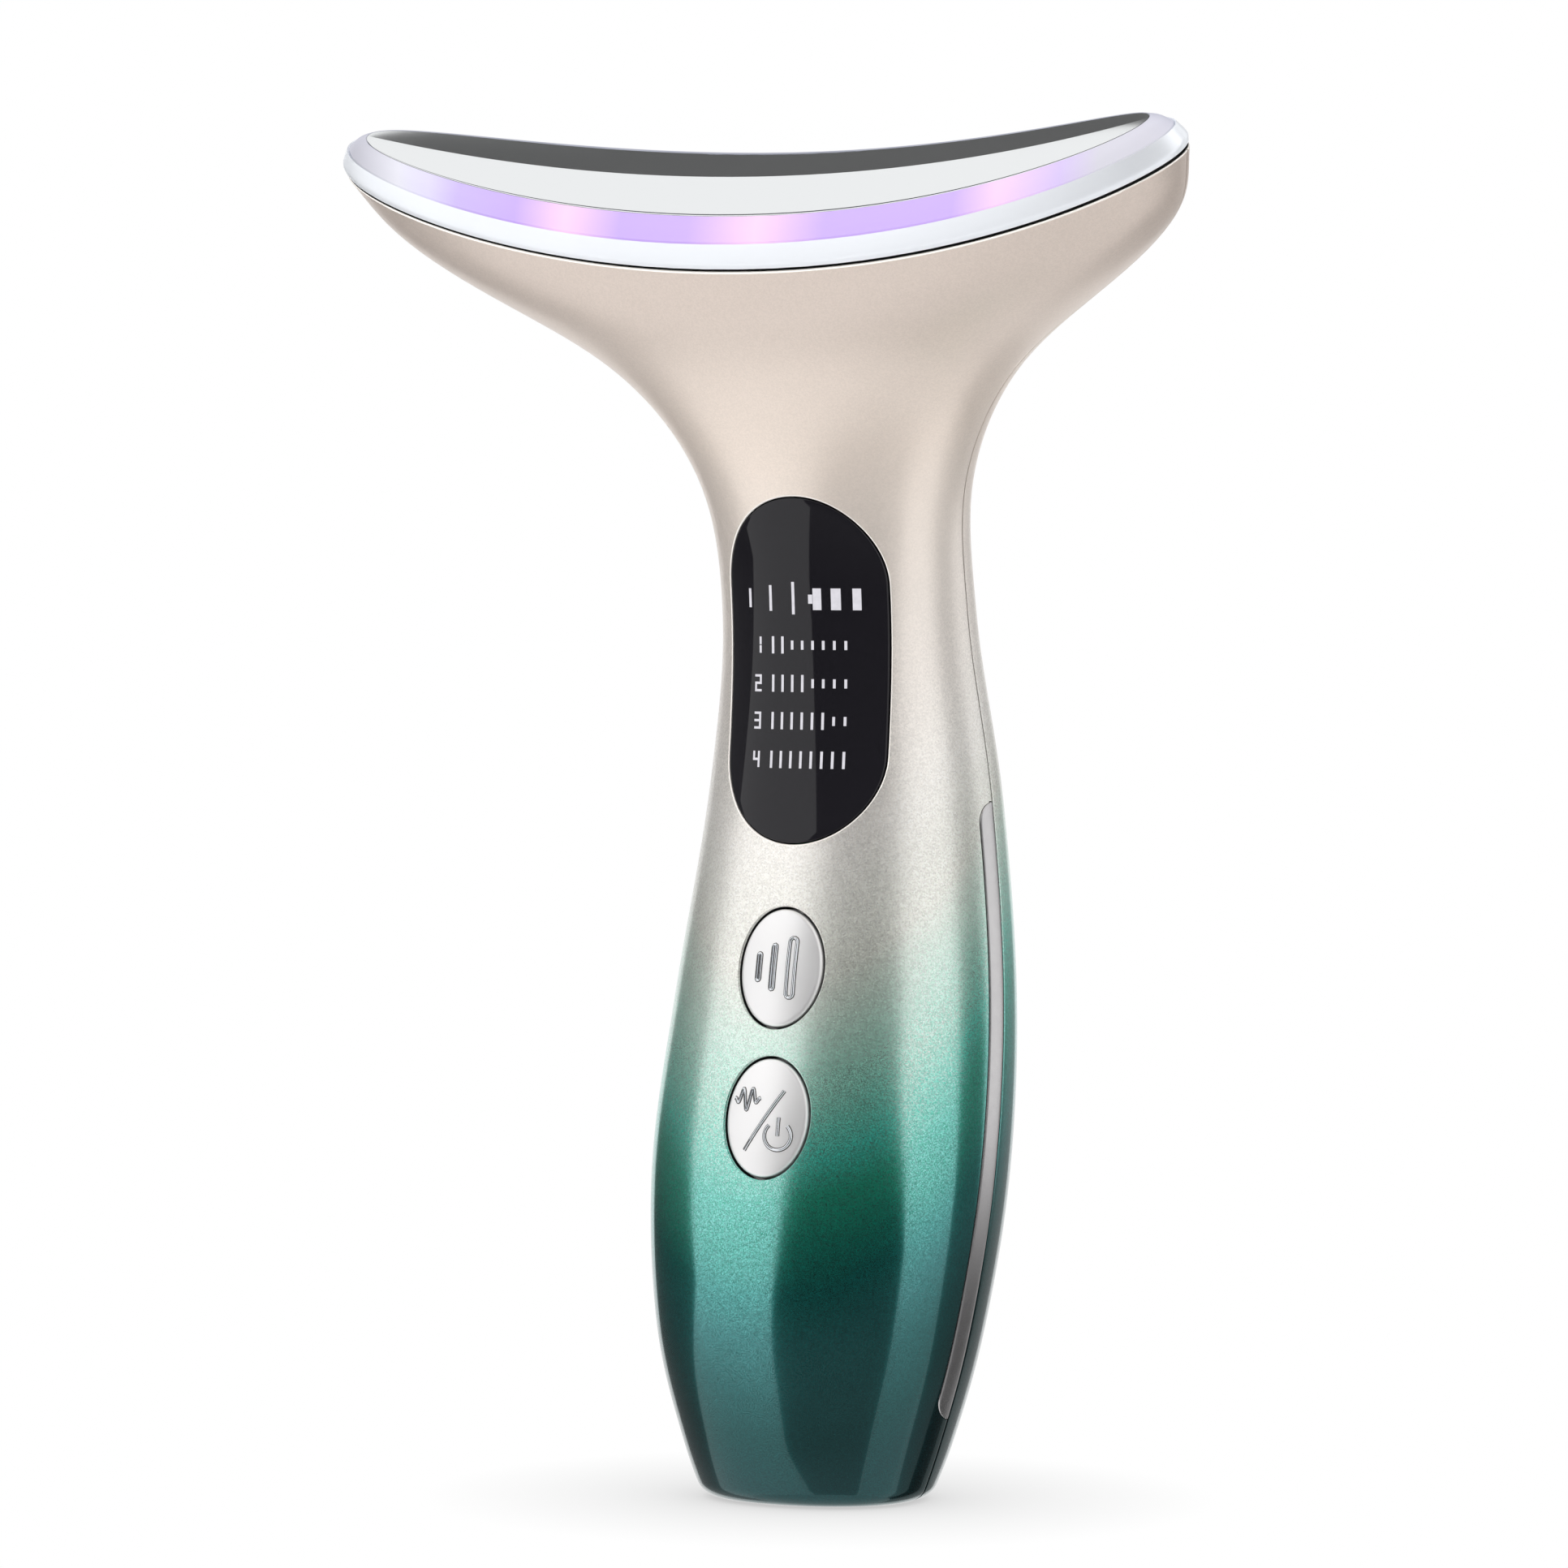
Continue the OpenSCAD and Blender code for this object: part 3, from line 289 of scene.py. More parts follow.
def lacquered_abs():
    """Injection-moulded ABS under a metallic lacquer and a clear coat.

    The lacquer is sprayed from champagne to dark teal, its flakes sparkle where the two
    meet, and the clear coat gives crisp edges to what it mirrors.
    """
    m = blank("metallic lacquer on moulded ABS")
    spot = add(m, "TexCoord").outputs["Object"]
    axes = add(m, "SeparateXYZ", {0: spot})
    # The spray comes from the front and above, so the fade starts lower on the front.
    height = add(m, "Math", {0: axes.outputs["Z"], 1: axes.outputs["Y"]}, operation="SUBTRACT")
    drift = add(m, "TexNoise", {"Vector": spot, "Scale": 1 / (DRIFT * MM), "Detail": 2.0})
    drift = add(m, "Math", {0: drift.outputs["Fac"], 1: 0.5}, operation="SUBTRACT").outputs[0]
    height = add(m, "Math", {0: drift, 1: DRIFT_SHIFT * MM, 2: height.outputs[0]},
                 operation="MULTIPLY_ADD").outputs[0]
    share = add(m, "MapRange", {"Value": height, "From Min": FADE_START * MM,
                                "From Max": (FADE_START + FADE_RUN) * MM}).outputs[0]
    fades = []
    for stops in (TINT_FADE, FLAKE_FADE, TINT_METAL, FLAKE_METAL, GLITTER):
        ramp = add(m, "ValToRGB", {"Fac": share})
        set_stops(ramp, {rise / FADE_RUN: code for rise, code in stops.items()})
        fades.append(ramp.outputs[0])
    tint, pale, tint_metal, pale_metal, glitter = fades
    cells = [add(m, "TexVoronoi", {"Vector": spot, "Scale": 1 / (width * MM)}).outputs["Color"]
             for width in (FLAKE, GLINT)]
    chance, clump = (add(m, "SeparateColor", {0: colours}).outputs[0] for colours in cells)
    flake = add(m, "Math", {0: chance, 1: 0.5}, operation="GREATER_THAN").outputs[0]
    colour = add(m, "Mix", {"Factor": flake, "A": tint, "B": pale}, data_type="RGBA").outputs[2]
    glint = add(m, "MapRange", {"Value": clump, "To Min": -0.5, "To Max": 0.5}).outputs[0]
    glint = add(m, "Math", {0: glint, 1: glitter, 2: 1.0}, operation="MULTIPLY_ADD").outputs[0]
    colour = add(m, "Mix", {"Factor": 1.0, "A": colour, "B": glint},
                 data_type="RGBA", blend_type="MULTIPLY").outputs[2]
    metal = add(m, "Mix", {"Factor": flake, "A": tint_metal, "B": pale_metal},
                data_type="RGBA").outputs[2]
    rough = add(m, "MapRange", {"Value": share, "From Min": ROUGH_FROM / FADE_RUN,
                                "From Max": ROUGH_TO / FADE_RUN, "To Min": DARK_ROUGH,
                                "To Max": PALE_ROUGH}).outputs[0]
    least = add(m, "MapRange", {"Value": flake, "To Min": TINT_ROUGH, "To Max": DARK_ROUGH})
    rough = add(m, "Math", {0: rough, 1: least.outputs[0]}, operation="MAXIMUM").outputs[0]
    gloss = add(m, "MapRange", {"Value": share, "From Min": COAT_FROM / FADE_RUN,
                                "From Max": COAT_TO / FADE_RUN, "To Min": DARK_COAT,
                                "To Max": PALE_COAT})
    shader = add(m, "BsdfPrincipled", {"Base Color": colour, "Metallic": metal,
                                       "Roughness": rough, "Coat Weight": gloss.outputs[0],
                                       "Coat Roughness": 0.03, "Coat IOR": 1.5})
    add(m, "OutputMaterial", {"Surface": shader.outputs[0]})
    return m


def plated(name, code, roughness, grain, metallic=1.0):
    """Bright plating: it mirrors the room, and the grain breaks the mirror up a little."""
    m = blank(name)
    spot = add(m, "TexCoord").outputs["Object"]
    noise = add(m, "TexNoise", {"Vector": spot, "Scale": 1 / (grain * MM), "Detail": 3.0})
    rough = add(m, "MapRange", {"Value": noise.outputs["Fac"], "To Min": roughness * 0.8,
                                "To Max": roughness * 1.2}).outputs[0]
    shader = add(m, "BsdfPrincipled", {"Base Color": paint(code), "Metallic": metallic,
                                       "Roughness": rough})
    add(m, "OutputMaterial", {"Surface": shader.outputs[0]})
    return m


# The light guide's glow by the share of the way along it, from its left tip to its right. The
# lavender and the pink spots are the lamps' light; the greys at the tips are painted shade and
# painted room light.
GLOW_HALF = 52.0
LAMP_GLOW_AND_PAINTED_GREY = {0.03: "#9A9CA0", 0.09: "#CFD0D6", 0.13: "#C9C3E0", 0.165: "#B29CDA", 0.235: "#AE8CDE",
        0.295: "#EEBEE2", 0.36: "#B08EDE", 0.44: "#B490DE", 0.52: "#EEBEE2", 0.60: "#B290DE",
        0.75: "#B290DE", 0.80: "#E6BCE2", 0.87: "#C0AADC", 0.915: "#BEBEC4"}
# Width in millimetres over which the rear half's painted grey glow blends in.
REAR_GLOW_BLEND = 2.0


def frosted_acrylic():
    """Frosted acrylic light guide: lavender light with a pink spot over each lamp.

    The rear half has no lamps under it, and the soft grey that it glows is painted room light.
    """
    m = blank("frosted acrylic, lit from inside, with painted grey glow")
    spot = add(m, "TexCoord").outputs["Object"]
    x = add(m, "SeparateXYZ", {0: spot}).outputs["X"]
    back = add(m, "VectorMath", {0: spot, 1: (0, math.cos(TILT), math.sin(TILT))},
               operation="DOT_PRODUCT").outputs["Value"]
    middle = (HEAD_Z * math.sin(TILT) - HEAD_REACH * math.cos(TILT)) * MM
    painted_rear_glow = add(m, "MapRange", {"Value": back, "From Min": middle - REAR_GLOW_BLEND * MM,
                                "From Max": middle + REAR_GLOW_BLEND * MM}).outputs[0]
    share = add(m, "MapRange", {"Value": x, "From Min": -GLOW_HALF * MM,
                                "From Max": GLOW_HALF * MM}).outputs[0]
    light = add(m, "ValToRGB", {"Fac": share})
    set_stops(light, LAMP_GLOW_AND_PAINTED_GREY)
    # The rear half glows a painted grey that stands in for the room's light.
    glow = add(m, "Mix", {"Factor": painted_rear_glow, "A": light.outputs[0], "B": paint("#9EA2AC")},
               data_type="RGBA").outputs[2]
    frost = add(m, "TexNoise", {"Vector": spot, "Scale": 1 / (0.5 * MM), "Detail": 2.0})
    rough = add(m, "MapRange", {"Value": frost.outputs["Fac"], "To Min": 0.4,
                                "To Max": 0.55}).outputs[0]
    shader = add(m, "BsdfPrincipled", {"Base Color": paint("#6A6772"), "Roughness": rough,
                                       "Emission Color": glow, "Emission Strength": 1.0})
    add(m, "OutputMaterial", {"Surface": shader.outputs[0]})
    return m


def plain(name, code, roughness, metallic=0.0, grain=0.8, depth=0.02, tint=0.08, coat=0.0,
          ior=1.5):
    """A moulded, plated or coated surface with a little variation in tone and a fine grain."""
    m = blank(name)
    spot = add(m, "TexCoord").outputs["Object"]
    noise = add(m, "TexNoise", {"Vector": spot, "Scale": 1 / (grain * MM),
                                "Detail": 4.0}).outputs["Fac"]
    tone = add(m, "MapRange", {"Value": noise, "To Min": 1 - tint, "To Max": 1 + tint}).outputs[0]
    colour = add(m, "Mix", {"Factor": 1.0, "A": paint(code), "B": tone},
                 data_type="RGBA", blend_type="MULTIPLY")
    bump = add(m, "Bump", {"Height": noise, "Strength": 0.3, "Distance": depth * MM})
    shader = add(m, "BsdfPrincipled", {"Base Color": colour.outputs[2], "Metallic": metallic,
                                       "Roughness": roughness, "IOR": ior,
                                       "Normal": bump.outputs[0],
                                       "Coat Weight": coat, "Coat Roughness": 0.04})
    add(m, "OutputMaterial", {"Surface": shader.outputs[0]})
    return m


def lit_marks():
    """Lamps seen through the tinted window."""
    m = blank("lit marks in the tinted window")
    spot = add(m, "TexCoord").outputs["Object"]
    noise = add(m, "TexNoise", {"Vector": spot, "Scale": 1 / (0.6 * MM)}).outputs["Fac"]
    glow = add(m, "MapRange", {"Value": noise, "To Min": 0.75, "To Max": 1.0}).outputs[0]
    shader = add(m, "BsdfPrincipled", {"Base Color": paint("#1B1A20"), "Roughness": 0.3,
                                       "Emission Color": paint("#E9E7EE"),
                                       "Emission Strength": glow})
    add(m, "OutputMaterial", {"Surface": shader.outputs[0]})
    return m


LACQUER = lacquered_abs()
# The pale edge is a painted highlight on the rounded lips and the rim under the trim.
PAINTED_HIGHLIGHT_EDGE = plated("lacquer edge painted pale as a highlight", "#FBF6F0", 0.25, 3.0, 0.3)
CHROME = plated("bright chrome on ABS", "#EEF1F5", 0.08, 6.0)
SILVER = plated("silver-lacquered ABS", "#EDF0F5", 0.42, 6.0, 0.5)
SATIN_CHROME = plated("satin chrome on the keys", "#F3F2F2", 0.42, 4.0, 0.75)
BRUSHED = plated("brushed side contact", "#D4D2D3", 0.22, 1.0, 0.96)
CONTACT_METAL = plated("polished contact plate", "#ECEEEF", 0.15, 8.0)
# The plate's edge is a duller cut metal, and its dark colour is painted shade between the plate
# and the ring.
SHADED_EDGE_METAL = plated("contact plate's rough edge, painted dark as shade", "#6E7074", 0.4, 2.0)
ACRYLIC = frosted_acrylic()
TINTED = plain("tinted gloss acrylic", "#17161A", 0.05, grain=4, depth=0, tint=0.02, ior=1.42)
# Black bare plastic inside the shells; in the gaps its black is painted shade.
BLACK_ABS_AND_GAP_SHADE = plain("bare black ABS, painted shade in the gaps", "#0B0B0C", 0.7, grain=0.5)
# A dark line painted round the raised marks as their shade.
SHADE_LINE = plain("dark line painted round the raised marks as shade", "#45413F", 0.5, metallic=0.3)
MARKS = lit_marks()

# The shells and all their cutters have the same finishes, because a cut takes its finish
# from the cutter's face: lacquer, its edge painted pale as a highlight, and bare black plastic
# inside and in the gaps, where its black is painted shade.
SHELL_FINISHES = (LACQUER, PAINTED_HIGHLIGHT_EDGE, BLACK_ABS_AND_GAP_SHADE)
SPRAYED, PALE_HIGHLIGHT, BARE_AND_GAP_SHADE = range(3)

# Hidden and half-hidden nodes of the frame, by the finish of the record that they take.
FINISHES = {
    "circuit_board": plain("green solder mask on glass fibre", "#1C6B43", 0.35, coat=0.3),
    "led_lens": plain("clear moulded lamp", "#E9E4C8", 0.2, coat=0.4),
    "white_abs": plain("white moulded ABS", "#E4E3DE", 0.45),
    "black_abs": plain("black moulded ABS", "#17171A", 0.5),
    "heater_film": plain("amber polyimide film", "#B87A2E", 0.3, grain=2),
    "tinned_steel": plain("tinned steel", "#C4C6C8", 0.28, metallic=1, grain=1.5),
    "weight_brass": plain("turned brass", "#B79B5C", 0.3, metallic=1, grain=0.5),
    "copper_winding": plain("enamelled copper winding", "#A8622F", 0.35, metallic=1, grain=0.3),
    "battery_foil": plain("aluminium pouch foil", "#C2C6CC", 0.3, metallic=1, grain=3),
    "foam_tape": plain("closed-cell foam", "#3B3B40", 0.9, grain=0.5, depth=0.1),
    "lead_insulation": plain("soft PVC insulation", "#8F1F1C", 0.4, grain=2),
}


# ---- Meshes ----
WELD = 0.002 * MM
SHARP_ANGLE = math.radians(32)


def mapped_grid(bm, columns, rows, place):
    """A grid with one corner for each column and row value, moved to where place says."""
    made = bmesh.ops.create_grid(bm, x_segments=len(columns) - 1, y_segments=len(rows) - 1, size=1)
    for vert in made["verts"]:
        i = round((vert.co.x + 1) / 2 * (len(columns) - 1))
        j = round((vert.co.y + 1) / 2 * (len(rows) - 1))
        vert.co = place(columns[i], rows[j]) * MM
    return made["verts"]


def close_up(bm, cap_ends=False):
    """Welds seams and poles, caps open ends if asked, and turns every face outward."""
    bmesh.ops.remove_doubles(bm, verts=bm.verts, dist=WELD)
    bmesh.ops.dissolve_degenerate(bm, edges=bm.edges, dist=WELD / 10)
    if cap_ends:
        bmesh.ops.holes_fill(bm, edges=[e for e in bm.edges if e.is_boundary])
    bmesh.ops.recalc_face_normals(bm, faces=bm.faces)


def soften(bm, radius, angle=32, segments=3, keep=lambda edge: True):
    """Rounds the edges that turn by more than the angle."""
    limit = math.radians(angle)
    edges = [e for e in bm.edges if e.is_manifold and e.calc_face_angle() > limit and keep(e)]
    bmesh.ops.bevel(bm, geom=edges, offset=radius * MM, offset_type="OFFSET", affect="EDGES",
                    segments=segments, profile=0.5, material=-1, clamp_overlap=True)


def as_object(bm, name, *materials):
    mesh = bpy.data.meshes.new(name)
    bm.to_mesh(mesh)
    bm.free()
    for material in materials:
        mesh.materials.append(material)
    obj = bpy.data.objects.new(name, mesh)
    bpy.context.scene.collection.objects.link(obj)
    return obj


def finished(obj, body, slot, *nodes):
    """Gives a piece its smooth shading and its place in the assembly."""
    obj.data.shade_smooth()
    obj.data.set_sharp_from_angle(angle=SHARP_ANGLE)
    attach(obj, body)
    if nodes:
        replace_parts(obj, *nodes)
    return obj


def carve(obj, cutters):
    """Cuts the cutters out of a piece and removes them. The cuts take the cutters' finishes."""
    for cutter in cutters:
        cut = obj.modifiers.new(cutter.name, "BOOLEAN")
        cut.operation = "DIFFERENCE"
        cut.solver = "EXACT"
        cut.object = cutter
    shape = obj.evaluated_get(bpy.context.evaluated_depsgraph_get())
    mesh = bpy.data.meshes.new_from_object(shape)
    obj.modifiers.clear()
    obj.data = mesh
    for cutter in cutters:
        bpy.data.objects.remove(cutter)


def steps(first, last, count):
    return [mix(first, last, k / count) for k in range(count + 1)]


def fillet(radius, count, start=0, end=90):
    """Pairs of inset and drop along a quarter round, from its top to its side."""
    angles = [math.radians(a) for a in steps(start, end, count)]
    return [(radius * (1 - math.sin(a)), radius * (1 - math.cos(a))) for a in angles]


# ---- Outlines ----
def stadium(width, height, turn):
    """A point of the window's outline at a share of its length, from the right side's foot."""
    straight, arc = height - width, math.pi * width / 2
    along = turn % 1 * 2 * (straight + arc)
    side = 1 if along < straight + arc else -1
    along -= 0 if side == 1 else straight + arc
    if along < straight:
        return side * width / 2, side * (along - straight / 2)
    angle = (along - straight) / (width / 2)
    return side * width / 2 * math.cos(angle), side * (straight / 2 + width / 2 * math.sin(angle))


def oval(width, height, turn):
    angle = 2 * math.pi * turn
    return width / 2 * math.cos(angle), height / 2 * math.sin(angle)


# ---- The two lacquered half shells ----
# Roundings of the shells' upper rim and of their edge along the parting line.
RIM_R, PARTING_R = 0.22, 0.2
# Angle across a half shell past which its skin can turn in beside the parting line.
PARTING_FROM = 80
# Angles across a half shell: close together beside the parting line, then even.
NEAR_PARTING = [90, 89.7, 89.3, 88.8, 88.2, 87.5, 86.7, 85.8, 84.8, 83.7, 82.5, 81.2, 79.8,
                78.2, 76.4, 74.4]
ACROSS = [-a for a in NEAR_PARTING] + steps(-72.4, 72.4, 74) + NEAR_PARTING[::-1]
# Rows of a half shell: inset, height and share of the section's size.
FLOOR_ROWS = [(BASE_EDGE_R, 0, share) for share in steps(0, 0.95, 10)]
EDGE_ROWS = [(inset, drop, 1) for inset, drop in fillet(BASE_EDGE_R, 8)]
SIDE_ROWS = [(0, z, 1) for z in steps(BASE_EDGE_R + 0.4, HEAD_Z - RIM_R - 0.3, 230)]
RIM_ROWS = [(inset, HEAD_Z - drop, 1) for inset, drop in fillet(RIM_R, 5)[::-1]]
SHELL_ROWS = FLOOR_ROWS + EDGE_ROWS + SIDE_ROWS + RIM_ROWS
# Rows lower than this lie on the floor inside, each a hair above the last.
FLOOR_ROWS_TO, FLOOR_RISE = 3, 0.02
# The wall is measured square to the skin, and so is thicker where the skin leans.
MOST_LEAN = 2.2


def parting_inset(distance):
    """How far the skin turns in beside the parting line."""
    left = PARTING_R - min(PARTING_R, max(0, distance))
    return PARTING_R - math.sqrt(PARTING_R ** 2 - left ** 2)


def outer_skin(half, angle, row):
    inset, z, share = row
    s = section_at(round(z, 3))
    turn = math.radians(angle)
    v = share * ((s[4] if half < 0 else s[5]) - inset) * bent(math.cos(turn))
    x = share * (s[3] - inset) * bent(math.sin(turn))
    x -= math.copysign(parting_inset(v) * share, x) if abs(angle) > PARTING_FROM else 0
    return placed(s, x, half * max(v, PART_GAP / 2))


def lean_of(z, k):
    """How much a measure of the section grows with each millimetre of height."""
    return (section_at(round(z + 2, 3))[k] - section_at(round(z - 2, 3))[k]) / 4


def inner_skin(half, angle, row):
    _, height, share = row
    z = round(height if height > FLOOR_ROWS_TO else FLOOR_T + FLOOR_RISE * height, 3)
    s = section_at(z)
    side, deep = (WALL * min(MOST_LEAN, math.hypot(1, lean_of(z, k)))
                  for k in (3, 4 if half < 0 else 5))
    turn = math.radians(angle)
    v = share * ((s[4] if half < 0 else s[5]) - deep) * bent(math.cos(turn))
    x = share * (s[3] - side) * bent(math.sin(turn))
    return placed(s, x, half * max(v, PART_GAP / 2))


def half_shell(name, half):
    """One half of the casing with its wall, its floor and its rounded rim."""
    bm = bmesh.new()
    for skin in (outer_skin, inner_skin):
        made = mapped_grid(bm, ACROSS, SHELL_ROWS, lambda angle, row: skin(half, angle, row))
        if skin is outer_skin:
            for face in bm.faces:
                # The rim under the trim takes the pale edge, a painted highlight.
                on_rim = height_on_head(*face.calc_center_median() / MM) > 0.05 - RIM_R
                face.material_index = PALE_HIGHLIGHT if on_rim else SPRAYED
        else:
            for face in {face for vert in made for face in vert.link_faces}:
                face.material_index = BARE_AND_GAP_SHADE
        bmesh.ops.remove_doubles(bm, verts=bm.verts, dist=WELD)
    # The rim and parting edges between the skins are black, painted shade in the gaps.
    joined = bmesh.ops.bridge_loops(bm, edges=[e for e in bm.edges if e.is_boundary])
    for face in joined["faces"]:
        face.material_index = BARE_AND_GAP_SHADE
    close_up(bm)
    return as_object(bm, name, *SHELL_FINISHES)


# ---- Cutters: each follows the skin with a small lip, then goes straight through ----
LIP_R = 0.24
LIP = fillet(LIP_R, 4, 20, 90)
LIP_OVER, LIP_ABOVE = 0.03, 0.1
AROUND = steps(0, 1, 176)
OUTSIDE, INSIDE = 6.0, 5.0
WINDOW_GAP = 0.15


def lip_levels(gap, outside, inside):
    """Levels of a cutter: how much its outline grows, and how deep it is under the skin."""
    mouth = gap + LIP[0][0] + LIP_OVER
    lip = [(gap + grow, depth) for grow, depth in LIP]
    return [(mouth, outside), (mouth, -LIP_ABOVE), *lip, (gap, inside)]


def mark_lip(bm, finish):
    """Gives a cutter's lip its finish, and the wall under it that of the bare black moulding,
    which stands as painted shade in the gap.
    """
    for face in bm.faces:
        x, y, z = face.calc_center_median() / MM
        face.material_index = finish if y - front_y(x, z) < LIP_R else BARE_AND_GAP_SHADE


def window_cutter():
    base = front_y(0, WINDOW_Z)

    def place(turn, level):
        grow, depth = level
        x, z = stadium(WINDOW_W + 2 * grow, WINDOW_H + 2 * grow, turn)
        z += WINDOW_Z
        flat = depth in (-OUTSIDE, INSIDE)
        return Vector((x, (base if flat else front_y(x, z)) + depth, z))

    bm = bmesh.new()
    mapped_grid(bm, AROUND, lip_levels(WINDOW_GAP, -OUTSIDE, INSIDE), place)
    close_up(bm, cap_ends=True)
    # The window's lip takes the pale edge, a painted highlight.
    mark_lip(bm, PALE_HIGHLIGHT)
    return as_object(bm, "window_cutter", *SHELL_FINISHES)


def button_cutter(zc, name):
    levels = lip_levels(BUTTON_GAP, -BOARD_DEPTH - OUTSIDE, -BOARD_DEPTH + INSIDE)

    def place(turn, level):
        grow, depth = level
        x, z = oval(BUTTON_W + 2 * grow, BUTTON_H + 2 * grow, turn)
        y = depth if level in (levels[0], levels[-1]) else skin_depth(x, zc + z) + depth
        return board_point(x, y, zc + z)

    bm = bmesh.new()
    mapped_grid(bm, AROUND, levels, place)
    close_up(bm, cap_ends=True)
    mark_lip(bm, SPRAYED)
    return as_object(bm, name, *SHELL_FINISHES)


USB_W, USB_T, SLIP = 8.94, 3.26, 0.2
# How much the slot grows, and how high over the base: its mouth is eased.
SLOT_LEVELS = [(0.35, -1), (0.35, 0), (0.1, 0.25), (0, 0.5), (0, FLOOR_T + 1)]
SPRAYED_TO = 0.5


def socket_cutter():
    """Slot through the floor for the charging plug, across both half shells."""
    def place(turn, level):
        grow = SLIP + level[0]
        y, x = stadium(USB_T + 2 * grow, USB_W + 2 * grow, turn)
        return Vector((x, y, level[1]))

    bm = bmesh.new()
    mapped_grid(bm, steps(0, 1, 64), SLOT_LEVELS, place)
    close_up(bm, cap_ends=True)
    for face in bm.faces:
        # Deeper in, the slot is black, painted shade inside it.
        deep = face.calc_center_median().z > SPRAYED_TO * MM
        face.material_index = BARE_AND_GAP_SHADE if deep else SPRAYED
    return as_object(bm, "socket_cutter", *SHELL_FINISHES)


# ---- Side strips, let into the front shell along the parting line ----
# The strip is 3.1 wide where it shows, and its solid in the construction 4.2.
STRIP_W = 3.1
STRIP_T, STRIP_PROUD, STRIP_GAP, STRIP_CORNER = 1.0, 0.1, 0.12, 2.6
# The strip starts a little in front of the front shell's edge, and its slot behind it.
STRIP_SETBACK, SLOT_OVER = 0.2, 0.5
SLOT_PROUD, SLOT_DEEPER = 2, 0.05
# Shares along a strip, close together at its ends.
STRIP_ALONG = [0.5 - 0.5 * math.cos(math.radians(a)) for a in steps(0, 180, 90)]


def side_point(side, v, z, inset):
    """A point under a side's skin, v behind the parting line."""
    s = section_at(round(z, 3))
    x = s[3] * share_left(v, s[4])
    return Vector((side * (x - inset), s[1] + v * math.cos(s[2]), z + v * math.sin(s[2])))


def strip_width(along):
    """A strip narrows to its ends, round at its front corners."""
    near = min(1, max(0.02, min(along, STRIP_LEN - along) / STRIP_CORNER))
    return STRIP_W * math.sqrt(1 - (1 - near) ** 2)


def strip_bar(side, grow, proud, deep):
    """A bar along the side: its section runs from the parting line forward and back."""
    outside = [(t, -proud) for t in steps(0, 1, 8)]
    rim = outside + [(t, deep) for t in steps(1, 0, 8)] + outside[:1]

    def place(corner, share):
        t, inset = corner
        along = STRIP_LEN * share
        start = SLOT_OVER if grow else -PART_GAP / 2 - STRIP_SETBACK
        v = mix(start, -PART_GAP / 2 - strip_width(along) - grow, t)
        beyond = grow * (2 * (share > 0.5) - 1) if share in (0, 1) else 0
        return side_point(side, v, STRIP_Z + along + beyond, inset)

    bm = bmesh.new()
    mapped_grid(bm, rim, STRIP_ALONG, place)
    close_up(bm, cap_ends=True)
    # The slot's faces are black, painted shade in the gap round the strip.
    if grow:
        for face in bm.faces:
            face.material_index = BARE_AND_GAP_SHADE
    return bm


# ---- Rings of the head ----
SEAM_A, SEAM_B = HEAD_W / 2, HEAD_D / 2
HEAD_UP = Vector((0, -math.sin(TILT), math.cos(TILT)))
TRIM_TAPER, TRIM_WALL, TRIM_PROUD, TRIM_LAND = 1.1, 1.1, 0.1, 1.0
# The trim's foot stands off the shells, so that a gap shows under it; its black is painted shade,
# from the black underside of the trim and the shells' rim.
TRIM_FOOT, TRIM_FOOT_R = 0.4, 0.18
RING_SLOPE = math.radians(38)
RING_RUN, RING_RISE = RING_W * math.cos(RING_SLOPE), RING_W * math.sin(RING_SLOPE)
PLATE_EDGE_H = TRIM_H + RING_RISE
SLAB_H, SEAT = 1.4, 0.1
# Steps round a ring, and how strongly they gather towards the tips.
RING_STEPS, GATHER = 360, 0.75
# The cosine of a face's turn from straight out, past which it is the trim's underside.
UNDERSIDE = -0.9


def smooth_run(points, per_span=6):
    """A smooth open run through points of a profile."""
    knots = [np.array(p, float) for p in points]
    ends = [2 * knots[0] - knots[1], *knots, 2 * knots[-1] - knots[-2]]
    run = [tuple(spline(*ends[i:i + 4], k / per_span))
           for i in range(len(knots) - 1) for k in range(per_span)]
    return run + [tuple(points[-1])]


def gathered(turn):
    """An oval's angle at a share of its turn, with the steps gathered towards its two tips."""
    even = 2 * math.pi * turn
    facing = math.atan2(SEAM_A * math.sin(even), SEAM_B * math.cos(even))
    facing += 2 * math.pi * round((even - facing) / (2 * math.pi))
    return mix(even, facing, GATHER)


def oval_ring(name, material, profile, across, deep):
    """A ring round the head: its profile gives offsets from an oval and heights."""
    def place(turn, corner):
        angle = gathered(turn)
        return head_point((across + corner[0]) * bent(math.sin(angle)),
                          -(deep + corner[0]) * bent(math.cos(angle)), corner[1])

    bm = bmesh.new()
    mapped_grid(bm, steps(0.25, 1.25, RING_STEPS), profile + profile[:1], place)
    close_up(bm)
    return as_object(bm, name, material)


